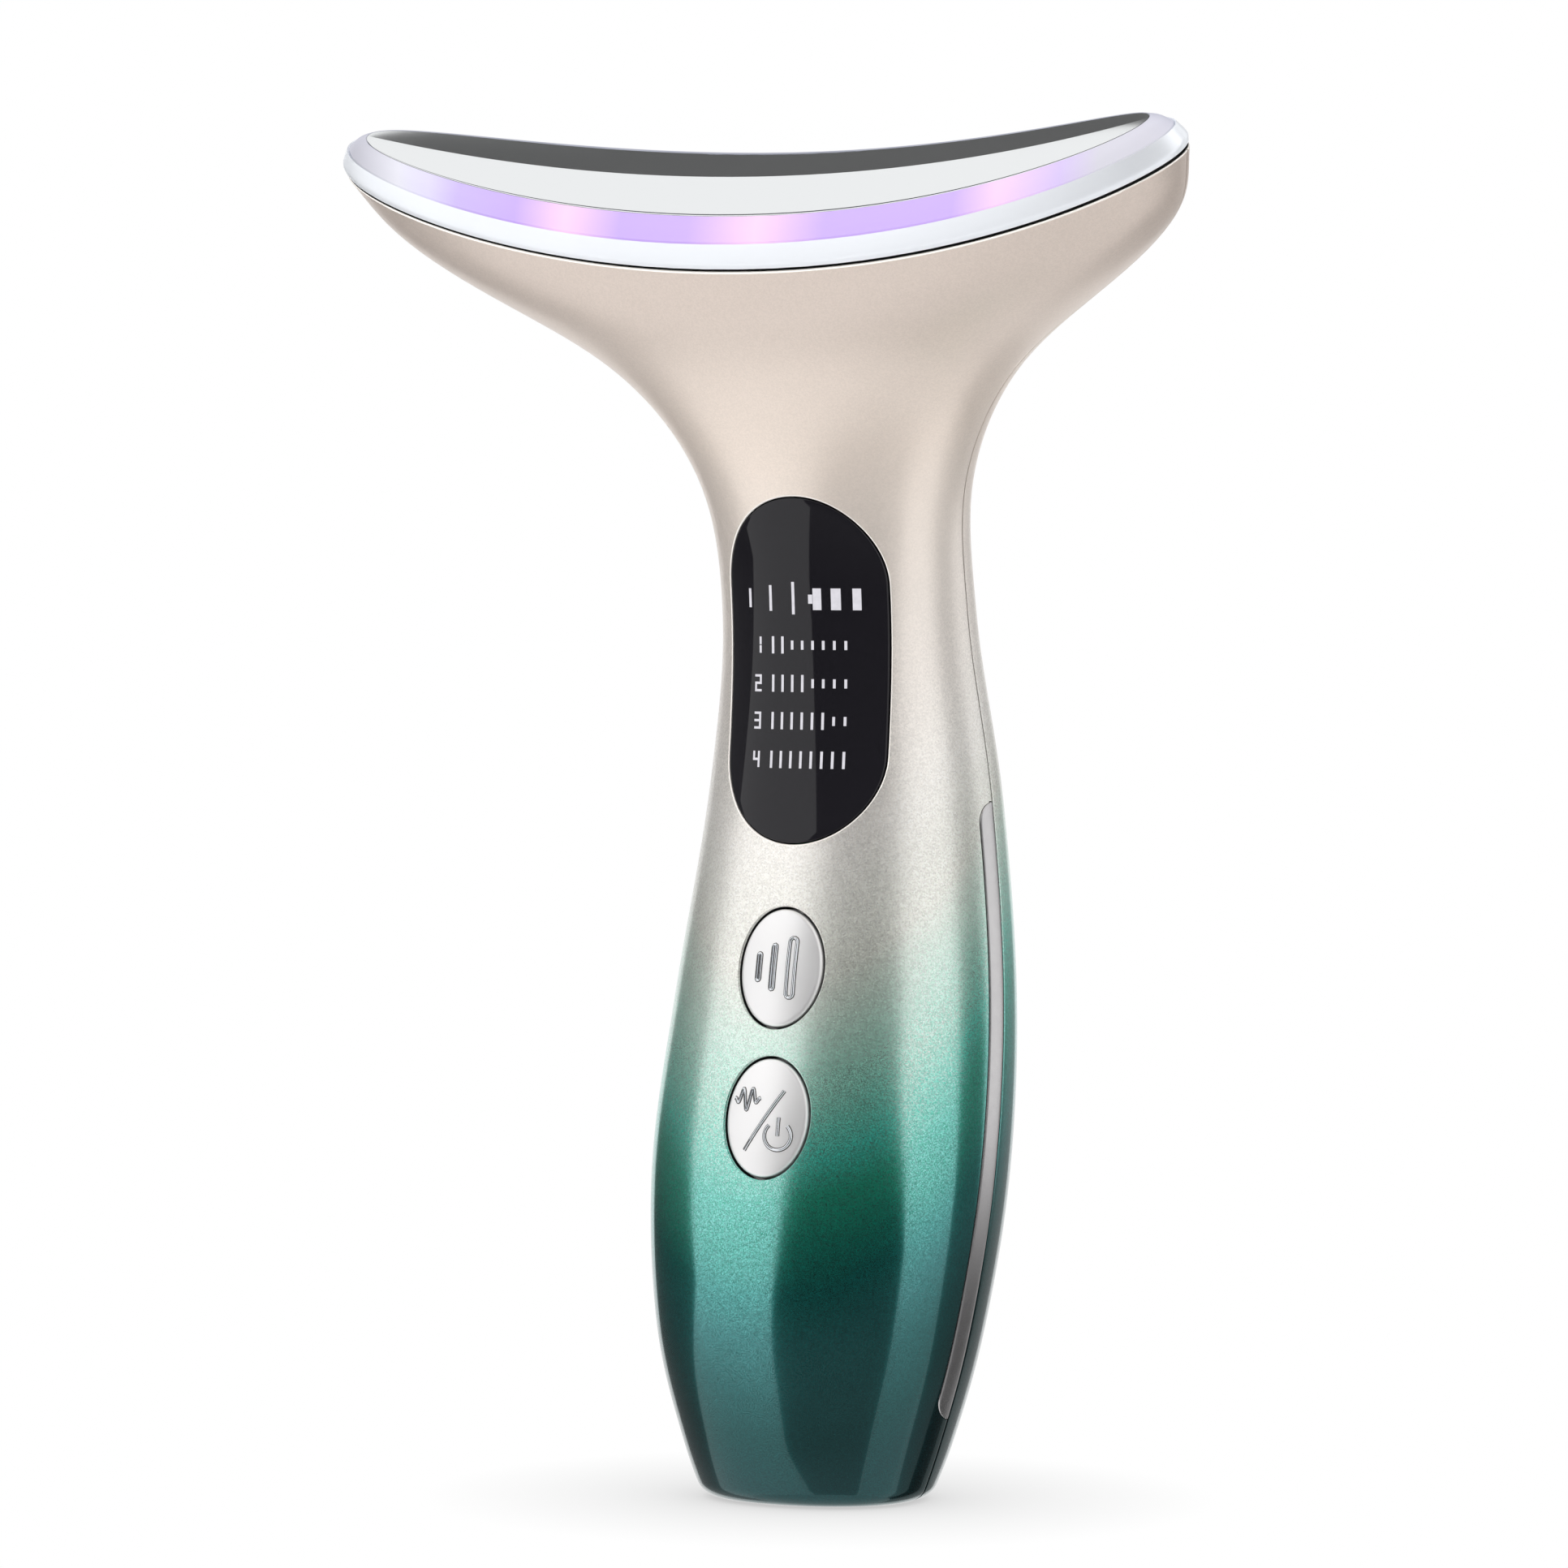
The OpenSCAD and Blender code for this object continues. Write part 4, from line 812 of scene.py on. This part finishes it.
def head_trim():
    """The bright trim, bulged a little between its rounded foot and the light ring."""
    face = smooth_run([(TRIM_PROUD, TRIM_FOOT + TRIM_FOOT_R), (TRIM_PROUD * 1.5, TRIM_H * 0.4),
                       (TRIM_PROUD - TRIM_TAPER * 0.45, TRIM_H * 0.75),
                       (SEAT - TRIM_TAPER + 0.2, TRIM_H - 0.08)])
    foot = [(TRIM_PROUD - inset, TRIM_FOOT + drop) for inset, drop in fillet(TRIM_FOOT_R, 5)]
    back = [(SEAT - TRIM_TAPER, TRIM_H - 0.3), (SEAT - TRIM_TAPER, TRIM_H - TRIM_LAND),
            (-TRIM_WALL, SLAB_H + 0.5), (-TRIM_WALL, TRIM_FOOT)]
    ring = oval_ring("head_trim_ring", SILVER, foot + face[1:] + back, SEAM_A, SEAM_B)
    ring.data.materials.append(BLACK_ABS_AND_GAP_SHADE)
    for face in ring.data.polygons:
        # The trim's underside is black, painted shade in the gap under it.
        face.material_index = int(face.normal.dot(HEAD_UP) < UNDERSIDE)
    return ring


def light_ring():
    """The sloped light guide, slightly domed, with a rebate under it for the plate."""
    middle = (0.1 - RING_RUN / 2, (TRIM_H + PLATE_EDGE_H) / 2 + 0.15)
    face = smooth_run([(0, TRIM_H), middle, (-RING_RUN, PLATE_EDGE_H)])
    back = [(-RING_RUN, PLATE_EDGE_H - 1.5), (-1.1, TRIM_H - TRIM_LAND / 2), (-0.9, SLAB_H + SEAT),
            (-SEAT, SLAB_H + SEAT), (0, TRIM_H - TRIM_LAND)]
    return oval_ring("light_guide_ring", ACRYLIC, face + back,
                     SEAM_A - TRIM_TAPER, SEAM_B - TRIM_TAPER)


PLATE_A = SEAM_A - TRIM_TAPER - RING_RUN - SEAT
PLATE_B = SEAM_B - TRIM_TAPER - RING_RUN - SEAT
RIDGE_V = -1.0
PLATE_EDGE_R = 0.25
# The front slope bulges and the rear one is hollow, as shares of the ridge's height.
FRONT_BULGE, REAR_BULGE = 0.48, -0.32
# The cosine of a face's turn from straight out, past which it is the plate's edge, painted dark as
# shade.
SHADED_EDGE_TURN = 0.75


def contact_plate():
    """The plate from tip to tip, with a crisp ridge between its two slopes."""
    # Steps from an edge up to the ridge, closest beside the ridge.
    shares = [0.04, 0.1, 0.2, 0.3, 0.4, 0.5, 0.6, 0.7, 0.8, 0.88, 0.94, 0.965, 0.985]
    rounding = fillet(PLATE_EDGE_R, 4)
    front = [(-1, 0, 0, PLATE_T)] + [(-1, 0, inset, drop) for inset, drop in rounding[::-1]]
    front += [(-1, share, 0, 0) for share in shares]
    rear = [(1, share, 0, 0) for share in shares[::-1]]
    rear += [(1, 0, inset, drop) for inset, drop in rounding] + [(1, 0, 0, PLATE_T)]
    profile = front + [(1, 1, 0, 0)] + rear + front[:1]

    def place(turn, corner):
        side, share, inset, drop = corner
        x = PLATE_A * math.sin(gathered(turn / 360))
        half = max(0.02, PLATE_B * share_left(x, PLATE_A) - inset)
        rise = 1 - (x / PLATE_A) ** 2
        bulge = FRONT_BULGE if side < 0 else REAR_BULGE
        h = PLATE_EDGE_H - drop + RIDGE_H * rise * (share + bulge * share * (1 - share))
        return head_point(x, mix(side * half, RIDGE_V * rise, share), h)

    bm = bmesh.new()
    mapped_grid(bm, steps(-89, 89, 200), profile, place)
    close_up(bm, cap_ends=True)
    for face in bm.faces:
        # The edge faces are painted dark as shade.
        face.material_index = int(face.normal.dot(HEAD_UP) < SHADED_EDGE_TURN)
    return as_object(bm, "contact_plate_face", CONTACT_METAL, SHADED_EDGE_METAL)


# ---- Display window and what shows through it ----
WINDOW_EDGE_R, WINDOW_SINK = 0.12, 0.03


def window():
    """The window follows the body's skin and lies a hair under it."""
    rounding = fillet(WINDOW_EDGE_R, 4)
    front = [(share, 0, WINDOW_SINK) for share in steps(0, 1, 24)[:-1]]
    front += [(1, inset, WINDOW_SINK + drop) for inset, drop in rounding]
    back = [(share, 0, WINDOW_T) for share in steps(1, 0, 8)]

    def place(turn, level):
        share, inset, depth = level
        x, z = stadium(WINDOW_W - 2 * inset, WINDOW_H - 2 * inset, turn)
        x, z = x * share, z * share + WINDOW_Z
        return Vector((x, front_y(x, z) + depth, z))

    bm = bmesh.new()
    mapped_grid(bm, AROUND, front + back, place)
    close_up(bm)
    return as_object(bm, "display_glass", TINTED)


MARK_T, MARK_DEPTH = 0.04, 0.01


def mark(bm, x, z, width, height):
    """A lit bar on the window, centred on x and z."""
    across = steps(x - width / 2, x + width / 2, 2)
    up = steps(z - height / 2, z + height / 2, 2)
    made = mapped_grid(bm, across, up, lambda a, b: Vector((a, front_y(a, b) + MARK_DEPTH, b)))
    faces = {face for vert in made for face in vert.link_faces}
    bmesh.ops.recalc_face_normals(bm, faces=list(faces))
    bmesh.ops.solidify(bm, geom=list(faces), thickness=MARK_T * MM)


# The bars of a seven-bar numeral, as a side and a level: T, M and L are the cross bars.
NUMERAL_BARS = {"1": ("TR", "LR"), "2": ("T", "TR", "M", "LL", "L"),
                "3": ("T", "TR", "M", "LR", "L"), "4": ("TL", "TR", "M", "LR")}
NUMERAL_W, NUMERAL_H, NUMERAL_BAR = 0.95, 1.9, 0.26


def numeral(bm, figure, x, z):
    """A seven-bar numeral, centred on x and z."""
    for bar in NUMERAL_BARS[figure]:
        level = {"T": 1, "M": 0, "L": -1}[bar[0]]
        if len(bar) == 1:
            mark(bm, x, z + level * (NUMERAL_H - NUMERAL_BAR) / 2, NUMERAL_W, NUMERAL_BAR)
        else:
            side = 1 if bar[1] == "R" else -1
            mark(bm, x + side * (NUMERAL_W - NUMERAL_BAR) / 2, z + level * NUMERAL_H / 4,
                 NUMERAL_BAR, NUMERAL_H / 2 - 0.1)


# Level bars: x of the first, pitch, width, height of the first, and how much each grows.
LEVEL_X, LEVEL_PITCH, LEVEL_W, LEVEL_H, LEVEL_GROWTH = -6.5, 2.95, 0.34, 2.1, 0.75
LEVEL_Z, GAUGE_Z = 100.3, 100.2
# The battery gauge: x, width and height of its pole and its three cells.
GAUGE = [(2.3, 1.0, 2.4), (4.45, 1.1, 2.4), (6.7, 0.9, 2.4), (1.5, 0.5, 1.0)]
# The numbered rows: heights, x of the numeral and the first tick, pitch, and the ticks' sizes.
ROWS_Z = (95.1, 90.85, 86.7, 82.4)
NUMERAL_X, TICK_X, TICK_PITCH, TICKS = -5.4, -3.3, 1.25, 8
TICK_W, TALL_TICK, SHORT_TICK = 0.3, 1.9, 1.0


def display_marks():
    """Level bars, a battery gauge and four numbered rows of ticks."""
    bm = bmesh.new()
    for k in range(3):
        mark(bm, LEVEL_X + LEVEL_PITCH * k, LEVEL_Z, LEVEL_W, LEVEL_H + LEVEL_GROWTH * k)
    for x, width, height in GAUGE:
        mark(bm, x, GAUGE_Z, width, height)
    for k, z in enumerate(ROWS_Z):
        numeral(bm, str(k + 1), NUMERAL_X, z)
        for tick in range(TICKS):
            tall = tick <= 2 * k + 1
            mark(bm, TICK_X + TICK_PITCH * tick, z, TICK_W, TALL_TICK if tall else SHORT_TICK)
    bmesh.ops.recalc_face_normals(bm, faces=bm.faces)
    return as_object(bm, "display_marks", MARKS)


# ---- Push buttons ----
CAP_CROWN, CAP_EDGE_R, FLANGE, FLANGE_T, STOP_GAP = 0.45, 0.4, 1.0, 0.8, 0.2
STEM_R, PLUNGER_TOP = 1.6, 2.5


def cap_face(x, z, zc):
    """Depth of a cap's crowned face in the board's frame."""
    share = math.hypot(x / (BUTTON_W / 2), z / (BUTTON_H / 2))
    return skin_depth(x, zc + z) - CAP_CROWN * (1 - min(1, share) ** 2)


def button(name, zc):
    """A crowned cap with its flange behind the shell and its plunger."""
    reach = BUTTON_H / 2 + FLANGE
    flange = max(skin_depth(BUTTON_W / 2 + FLANGE, zc), skin_depth(0, zc + reach),
                 skin_depth(0, zc - reach)) + WALL + STOP_GAP
    # Each level is an oval's width and height, then its depth: under the face, or flat.
    face = [(BUTTON_W * s, BUTTON_H * s, 0, False) for s in steps(0, 0.9, 18)]
    face += [(BUTTON_W - 2 * inset, BUTTON_H - 2 * inset, drop, False)
             for inset, drop in fillet(CAP_EDGE_R, 6)]
    wide, high, back = BUTTON_W + 2 * FLANGE, BUTTON_H + 2 * FLANGE, flange + FLANGE_T
    body = [(BUTTON_W, BUTTON_H, flange, True), (wide, high, flange, True),
            (wide, high, back, True), (2 * STEM_R, 2 * STEM_R, back, True),
            (2 * STEM_R, 2 * STEM_R, -PLUNGER_TOP, True), (0, 0, -PLUNGER_TOP, True)]

    def place(turn, level):
        width, height, depth, flat = level
        x, z = oval(width, height, turn)
        return board_point(x, depth if flat else cap_face(x, z, zc) + depth, zc + z)

    bm = bmesh.new()
    mapped_grid(bm, steps(0, 1, 128), face + body, place)
    close_up(bm)
    return as_object(bm, name, SATIN_CHROME)


# Width and height of a raised mark, and of the dark line that it stands in, painted as the mark's
# shade.
BEAD, SHADE_SURROUND = (0.32, 0.42), (0.48, 0.1)


def bead(bm, zc, path, size, closed=False):
    """A raised half-round line on a cap, along points of its face."""
    width, height = size
    knots = [Vector((x, z)) for x, z in path]
    last = len(knots) - 1

    def place(k, angle):
        here = knots[k]
        ahead = knots[(k + 1) % last if closed else min(k + 1, last)]
        behind = knots[(k - 1) % last if closed else max(k - 1, 0)]
        along = (ahead - behind).normalized()
        full = 0 if not closed and k in (0, last) else 1
        side = Vector((-along.y, along.x)) * full * width / 2 * math.cos(angle)
        x, z = here + side
        return board_point(x, cap_face(x, z, zc) - full * height / 2 * math.sin(angle), zc + z)

    made = mapped_grid(bm, list(range(last + 1)), steps(0, 2 * math.pi, 12), place)
    for face in {face for vert in made for face in vert.link_faces}:
        # The wider, lower bead is painted dark as the shade round the mark.
        face.material_index = int(size == SHADE_SURROUND)


def rounded_ends(path):
    """Adds points near both ends, so that a bead ends round."""
    first, last = Vector(path[0]), Vector(path[-1])
    lead = (Vector(path[1]) - first).normalized() * BEAD[0] / 2
    tail = (Vector(path[-2]) - last).normalized() * BEAD[0] / 2
    return [first - lead, first - 0.7 * lead, *path, last - 0.7 * tail, last - tail]


# The level key's bars: x, width and height of each outline.
BARS = [(-2.45, 0.42, 3.0), (-0.6, 0.42, 5.0), (1.6, 0.85, 6.7)]


def level_marks():
    """Three outlined bars of growing height."""
    bm = bmesh.new()
    for x, width, height in BARS:
        outline = [stadium(width, height, turn) for turn in steps(0, 1, 56)]
        for size in (BEAD, SHADE_SURROUND):
            bead(bm, BUTTON_PITCH, [(x + a, b) for a, b in outline], size, closed=True)
    close_up(bm)
    return as_object(bm, "level_key_marks", CHROME, SHADE_LINE)


WAVE_FROM, WAVE_TO, WAVE_Z, WAVE_H, WAVES = -3.9, -0.7, 2.05, 1.3, 2.5
SLASH_FROM, SLASH_TO = (-2.15, -3.6), (2.1, 2.9)
SIGN_X, SIGN_Z, SIGN_R, SIGN_OPENING = 1.8, -2.0, 1.55, 48
SIGN_BAR = (-1.9, -0.1)


def power_marks():
    """A pulse wave, a slash and the on and off sign."""
    bm = bmesh.new()
    wave = [(mix(WAVE_FROM, WAVE_TO, t),
             WAVE_Z - WAVE_H * math.sin(WAVES * 2 * math.pi * t) * math.sin(math.pi * t))
            for t in steps(0, 1, 60)]
    slash = [(mix(SLASH_FROM[0], SLASH_TO[0], t), mix(SLASH_FROM[1], SLASH_TO[1], t))
             for t in steps(0, 1, 12)]
    turns = [math.radians(a) for a in steps(SIGN_OPENING, 360 - SIGN_OPENING, 44)]
    ring = [(SIGN_X + SIGN_R * math.sin(a), SIGN_Z + SIGN_R * math.cos(a)) for a in turns]
    bar = [(SIGN_X, mix(*SIGN_BAR, t)) for t in steps(0, 1, 6)]
    for path in (wave, slash, ring, bar):
        for size in (BEAD, SHADE_SURROUND):
            bead(bm, 0, rounded_ends(path), size)
    close_up(bm)
    return as_object(bm, "power_key_marks", CHROME, SHADE_LINE)


# ---- Assembly ----
def build():
    """Skins the nodes that show, and gives the others their finishes."""
    casing = {"front_shell_skin": ("front_shell", -1), "rear_shell_skin": ("rear_shell", 1)}
    for name, (node, half) in casing.items():
        shell = half_shell(name, half)
        cutters = [socket_cutter()]
        if half < 0:
            cutters += [window_cutter(), button_cutter(0, "power_cutter"),
                        button_cutter(BUTTON_PITCH, "level_cutter")]
            slots = [strip_bar(side, STRIP_GAP, SLOT_PROUD, STRIP_T + SLOT_DEEPER)
                     for side in (-1, 1)]
            cutters += [as_object(slot, "strip_cutter", *SHELL_FINISHES) for slot in slots]
        carve(shell, cutters)
        finished(shell, "casing", "shell_lacquer", node)
    for node, side in (("left_strip", -1), ("right_strip", 1)):
        bm = strip_bar(side, 0, STRIP_PROUD, STRIP_T)
        soften(bm, 0.12, 50)
        finished(as_object(bm, node + "_bar", BRUSHED), "casing", "chrome_plating", node)
    finished(head_trim(), "casing", "chrome_plating", "head_trim")
    finished(light_ring(), "casing", "frosted_acrylic", "light_ring")
    finished(contact_plate(), "casing", "contact_metal", "contact_plate")
    finished(window(), "casing", "tinted_acrylic", "display_window")
    finished(display_marks(), "casing", "led_lens")
    for key, zc, marks in (("level", BUTTON_PITCH, level_marks), ("power", 0, power_marks)):
        finished(button(key + "_key_cap", zc), key + "_key", "chrome_plating", key + "_button")
        finished(marks(), key + "_key", "chrome_plating")
    replaced = {node for obj in bpy.data.objects for node in obj.get("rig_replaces", [])}
    for part in frame["record"]["subparts"]:
        if part["node"] not in replaced:
            obj = frame["nodes"][part["node"]]
            obj.data.materials.clear()
            obj.data.materials.append(FINISHES[part["material_slot"]])


build()


# ---- Stage ----
# Height of the object's middle, which the camera, the lamps and the cards are placed round.
MIDDLE_Z = 75


def direction(azimuth, elevation=0.0):
    """Azimuth runs from the display's side towards its right."""
    a, e = math.radians(azimuth), math.radians(elevation)
    return Vector((math.sin(a) * math.cos(e), -math.cos(a) * math.cos(e), math.sin(e)))


def seen_or_mirrored(owner):
    """1 for the eye, a mirror and glass, and 0 for the light that falls on the object."""
    path = add(owner, "LightPath")
    seen = path.outputs["Is Camera Ray"]
    for ray in ("Is Glossy Ray", "Is Transmission Ray"):
        seen = add(owner, "Math", {0: seen, 1: path.outputs[ray]}, operation="MAXIMUM").outputs[0]
    return seen


def background(level):
    """White to what the eye or a mirror sees, and a plain level of light to the rest."""
    world = blank("room", bpy.data.worlds)
    seen = seen_or_mirrored(world)
    light = add(world, "MapRange", {"Value": seen, "To Min": level, "To Max": 1.0})
    glow = add(world, "Background", {"Color": (1, 1, 1, 1), "Strength": light.outputs[0]})
    add(world, "OutputWorld", {"Surface": glow.outputs[0]})
    bpy.context.scene.world = world


def floor():
    """White floor with a soft shadow under the base, painted from ambient occlusion."""
    m = blank("white floor")
    # The shadow is painted: ambient occlusion darkens the floor's glow near the object.
    near = add(m, "AmbientOcclusion", {"Distance": 0.03}, samples=12).outputs["AO"]
    shade = add(m, "MapRange", {"Value": near, "To Min": 0.55, "To Max": 1.0}).outputs[0]
    glow = add(m, "Emission", {"Color": (1, 1, 1, 1), "Strength": shade})
    matt = add(m, "BsdfDiffuse", {"Color": (0.8, 0.8, 0.8, 1)})
    mixed = add(m, "MixShader", {0: seen_or_mirrored(m), 1: matt.outputs[0], 2: glow.outputs[0]})
    add(m, "OutputMaterial", {"Surface": mixed.outputs[0]})
    bm = bmesh.new()
    bmesh.ops.create_circle(bm, cap_ends=True, segments=96, radius=4)
    obj = as_object(bm, "floor", m)
    obj.location.z = -0.2 * MM
    obj.visible_glossy = False


CARD_R, CARD_MIDDLE = 0.6, MIDDLE_Z * MM


def card(name, top, foot, bend=2):
    """A card that only mirrors see, between the object and the white room.

    Its top and its foot each have a left and a right azimuth, an elevation and a level. The
    bend says how late its sides turn from the top's azimuths to the foot's.
    """
    m = blank(name)
    spot = add(m, "TexCoord").outputs["Object"]
    height = add(m, "SeparateXYZ", {0: spot}).outputs["Z"]
    rises = [CARD_MIDDLE + CARD_R * math.sin(math.radians(edge[2])) for edge in (foot, top)]
    level = add(m, "MapRange", {"Value": height, "From Min": rises[0], "From Max": rises[1],
                                "To Min": foot[3], "To Max": top[3]}).outputs[0]
    grey = add(m, "Emission", {"Color": (1, 1, 1, 1), "Strength": level})
    add(m, "OutputMaterial", {"Surface": grey.outputs[0]})

    def place(across, down):
        turn = mix(mix(*top[:2], across), mix(*foot[:2], across), down ** bend)
        way = CARD_R * direction(turn, mix(top[2], foot[2], down))
        return (way + Vector((0, 0, CARD_MIDDLE))) / MM

    bm = bmesh.new()
    mapped_grid(bm, steps(0, 1, 24), steps(0, 1, 12), place)
    obj = as_object(bm, name, m)
    for ray in ("camera", "diffuse", "transmission", "shadow", "volume_scatter"):
        setattr(obj, "visible_" + ray, False)


def lamp(name, azimuth, elevation, power, distance=0.9, size=0.5):
    """A soft round lamp that lights the object and that nothing mirrors."""
    light = bpy.data.lights.new(name, "AREA")
    light.shape = "DISK"
    light.size = size
    light.energy = power
    obj = bpy.data.objects.new(name, light)
    way = direction(azimuth, elevation)
    obj.location = Vector((0, 0, MIDDLE_Z)) * MM + way * distance
    obj.rotation_euler = way.to_track_quat("Z", "Y").to_euler()
    obj.visible_glossy = False
    bpy.context.scene.collection.objects.link(obj)


def camera():
    """A long lens in front of the display, to its right and a little above the middle."""
    turn, rise, roll = math.radians(26.974), math.radians(2.072), math.radians(0.114)
    distance, aside, above = 852.5, -3.816, 4.543
    back = Vector((math.sin(turn) * math.cos(rise), -math.cos(turn) * math.cos(rise),
                   math.sin(rise)))
    level = Vector((math.cos(turn), math.sin(turn), 0))
    upright = back.cross(level)
    spot = (Vector((0, 0, MIDDLE_Z)) + level * aside + upright * above + back * distance) * MM
    right = level * math.cos(roll) + upright * math.sin(roll)
    up = upright * math.cos(roll) - level * math.sin(roll)
    data = bpy.data.cameras.new("camera")
    data.lens = 175.62
    data.sensor_width = 36
    data.clip_start = 0.01
    obj = bpy.data.objects.new("camera", data)
    obj.matrix_world = Matrix.Translation(spot) @ Matrix((right, up, back)).transposed().to_4x4()
    bpy.context.scene.collection.objects.link(obj)
    bpy.context.scene.camera = obj


# Each card's top, then its foot: left and right azimuth, elevation and level.
CARDS = {
    "dark card, front upper": ((-8, 44, 62, 0.1), (-19.5, 62, -8, 0.02)),
    "dark card, front lower": ((-19.5, 62, -8, 0.02), (4, 58, -60, 0.5)),
    "dark card, left upper": ((-124, -74, 16, 0.25), (-124, -64, -8, 0.06)),
    "dark card, left lower": ((-124, -64, -8, 0.05), (-127, -108, -60, 0.45), 1),
    "grey card, high at the left rear": ((-178, -130, 66, 0.12), (-178, -130, 14, 0.12)),
    "pale card, right": ((62, 103, 40, 0.9), (62, 103, -60, 0.88)),
    "dark card, right upper": ((102, 131, 62, 0.12), (103, 131, -8, 0.12)),
    "dark card, right lower": ((103, 131, -8, 0.12), (124, 131, -60, 0.5)),
    "pale card, right rear": ((131, 152, 62, 0.95), (131, 152, -3, 0.95)),
    "fading card, right rear": ((131, 152, -3, 0.95), (131, 152, -17.5, 0.06)),
    "dark card, right rear lower": ((131, 152, -17.5, 0.06), (131, 152, -60, 0.06)),
    "dark card, right rear": ((152, 158, 62, 0.12), (152, 158, -60, 0.3)),
    "grey card, right rear": ((158, 181, 62, 0.3), (158, 181, -60, 0.35)),
    "grey card, below": ((-180, 180, -60, 0.8), (-180, 180, -90, 0.8)),
}

background(0.6)
floor()
for name, edges in CARDS.items():
    card(name, *edges)
lamp("left lamp", -18, 25, 4.5)
lamp("right lamp", 95, 20, 4)
lamp("top lamp", 0, 80, 4)
camera()
bpy.context.scene.view_settings.view_transform = "Standard"
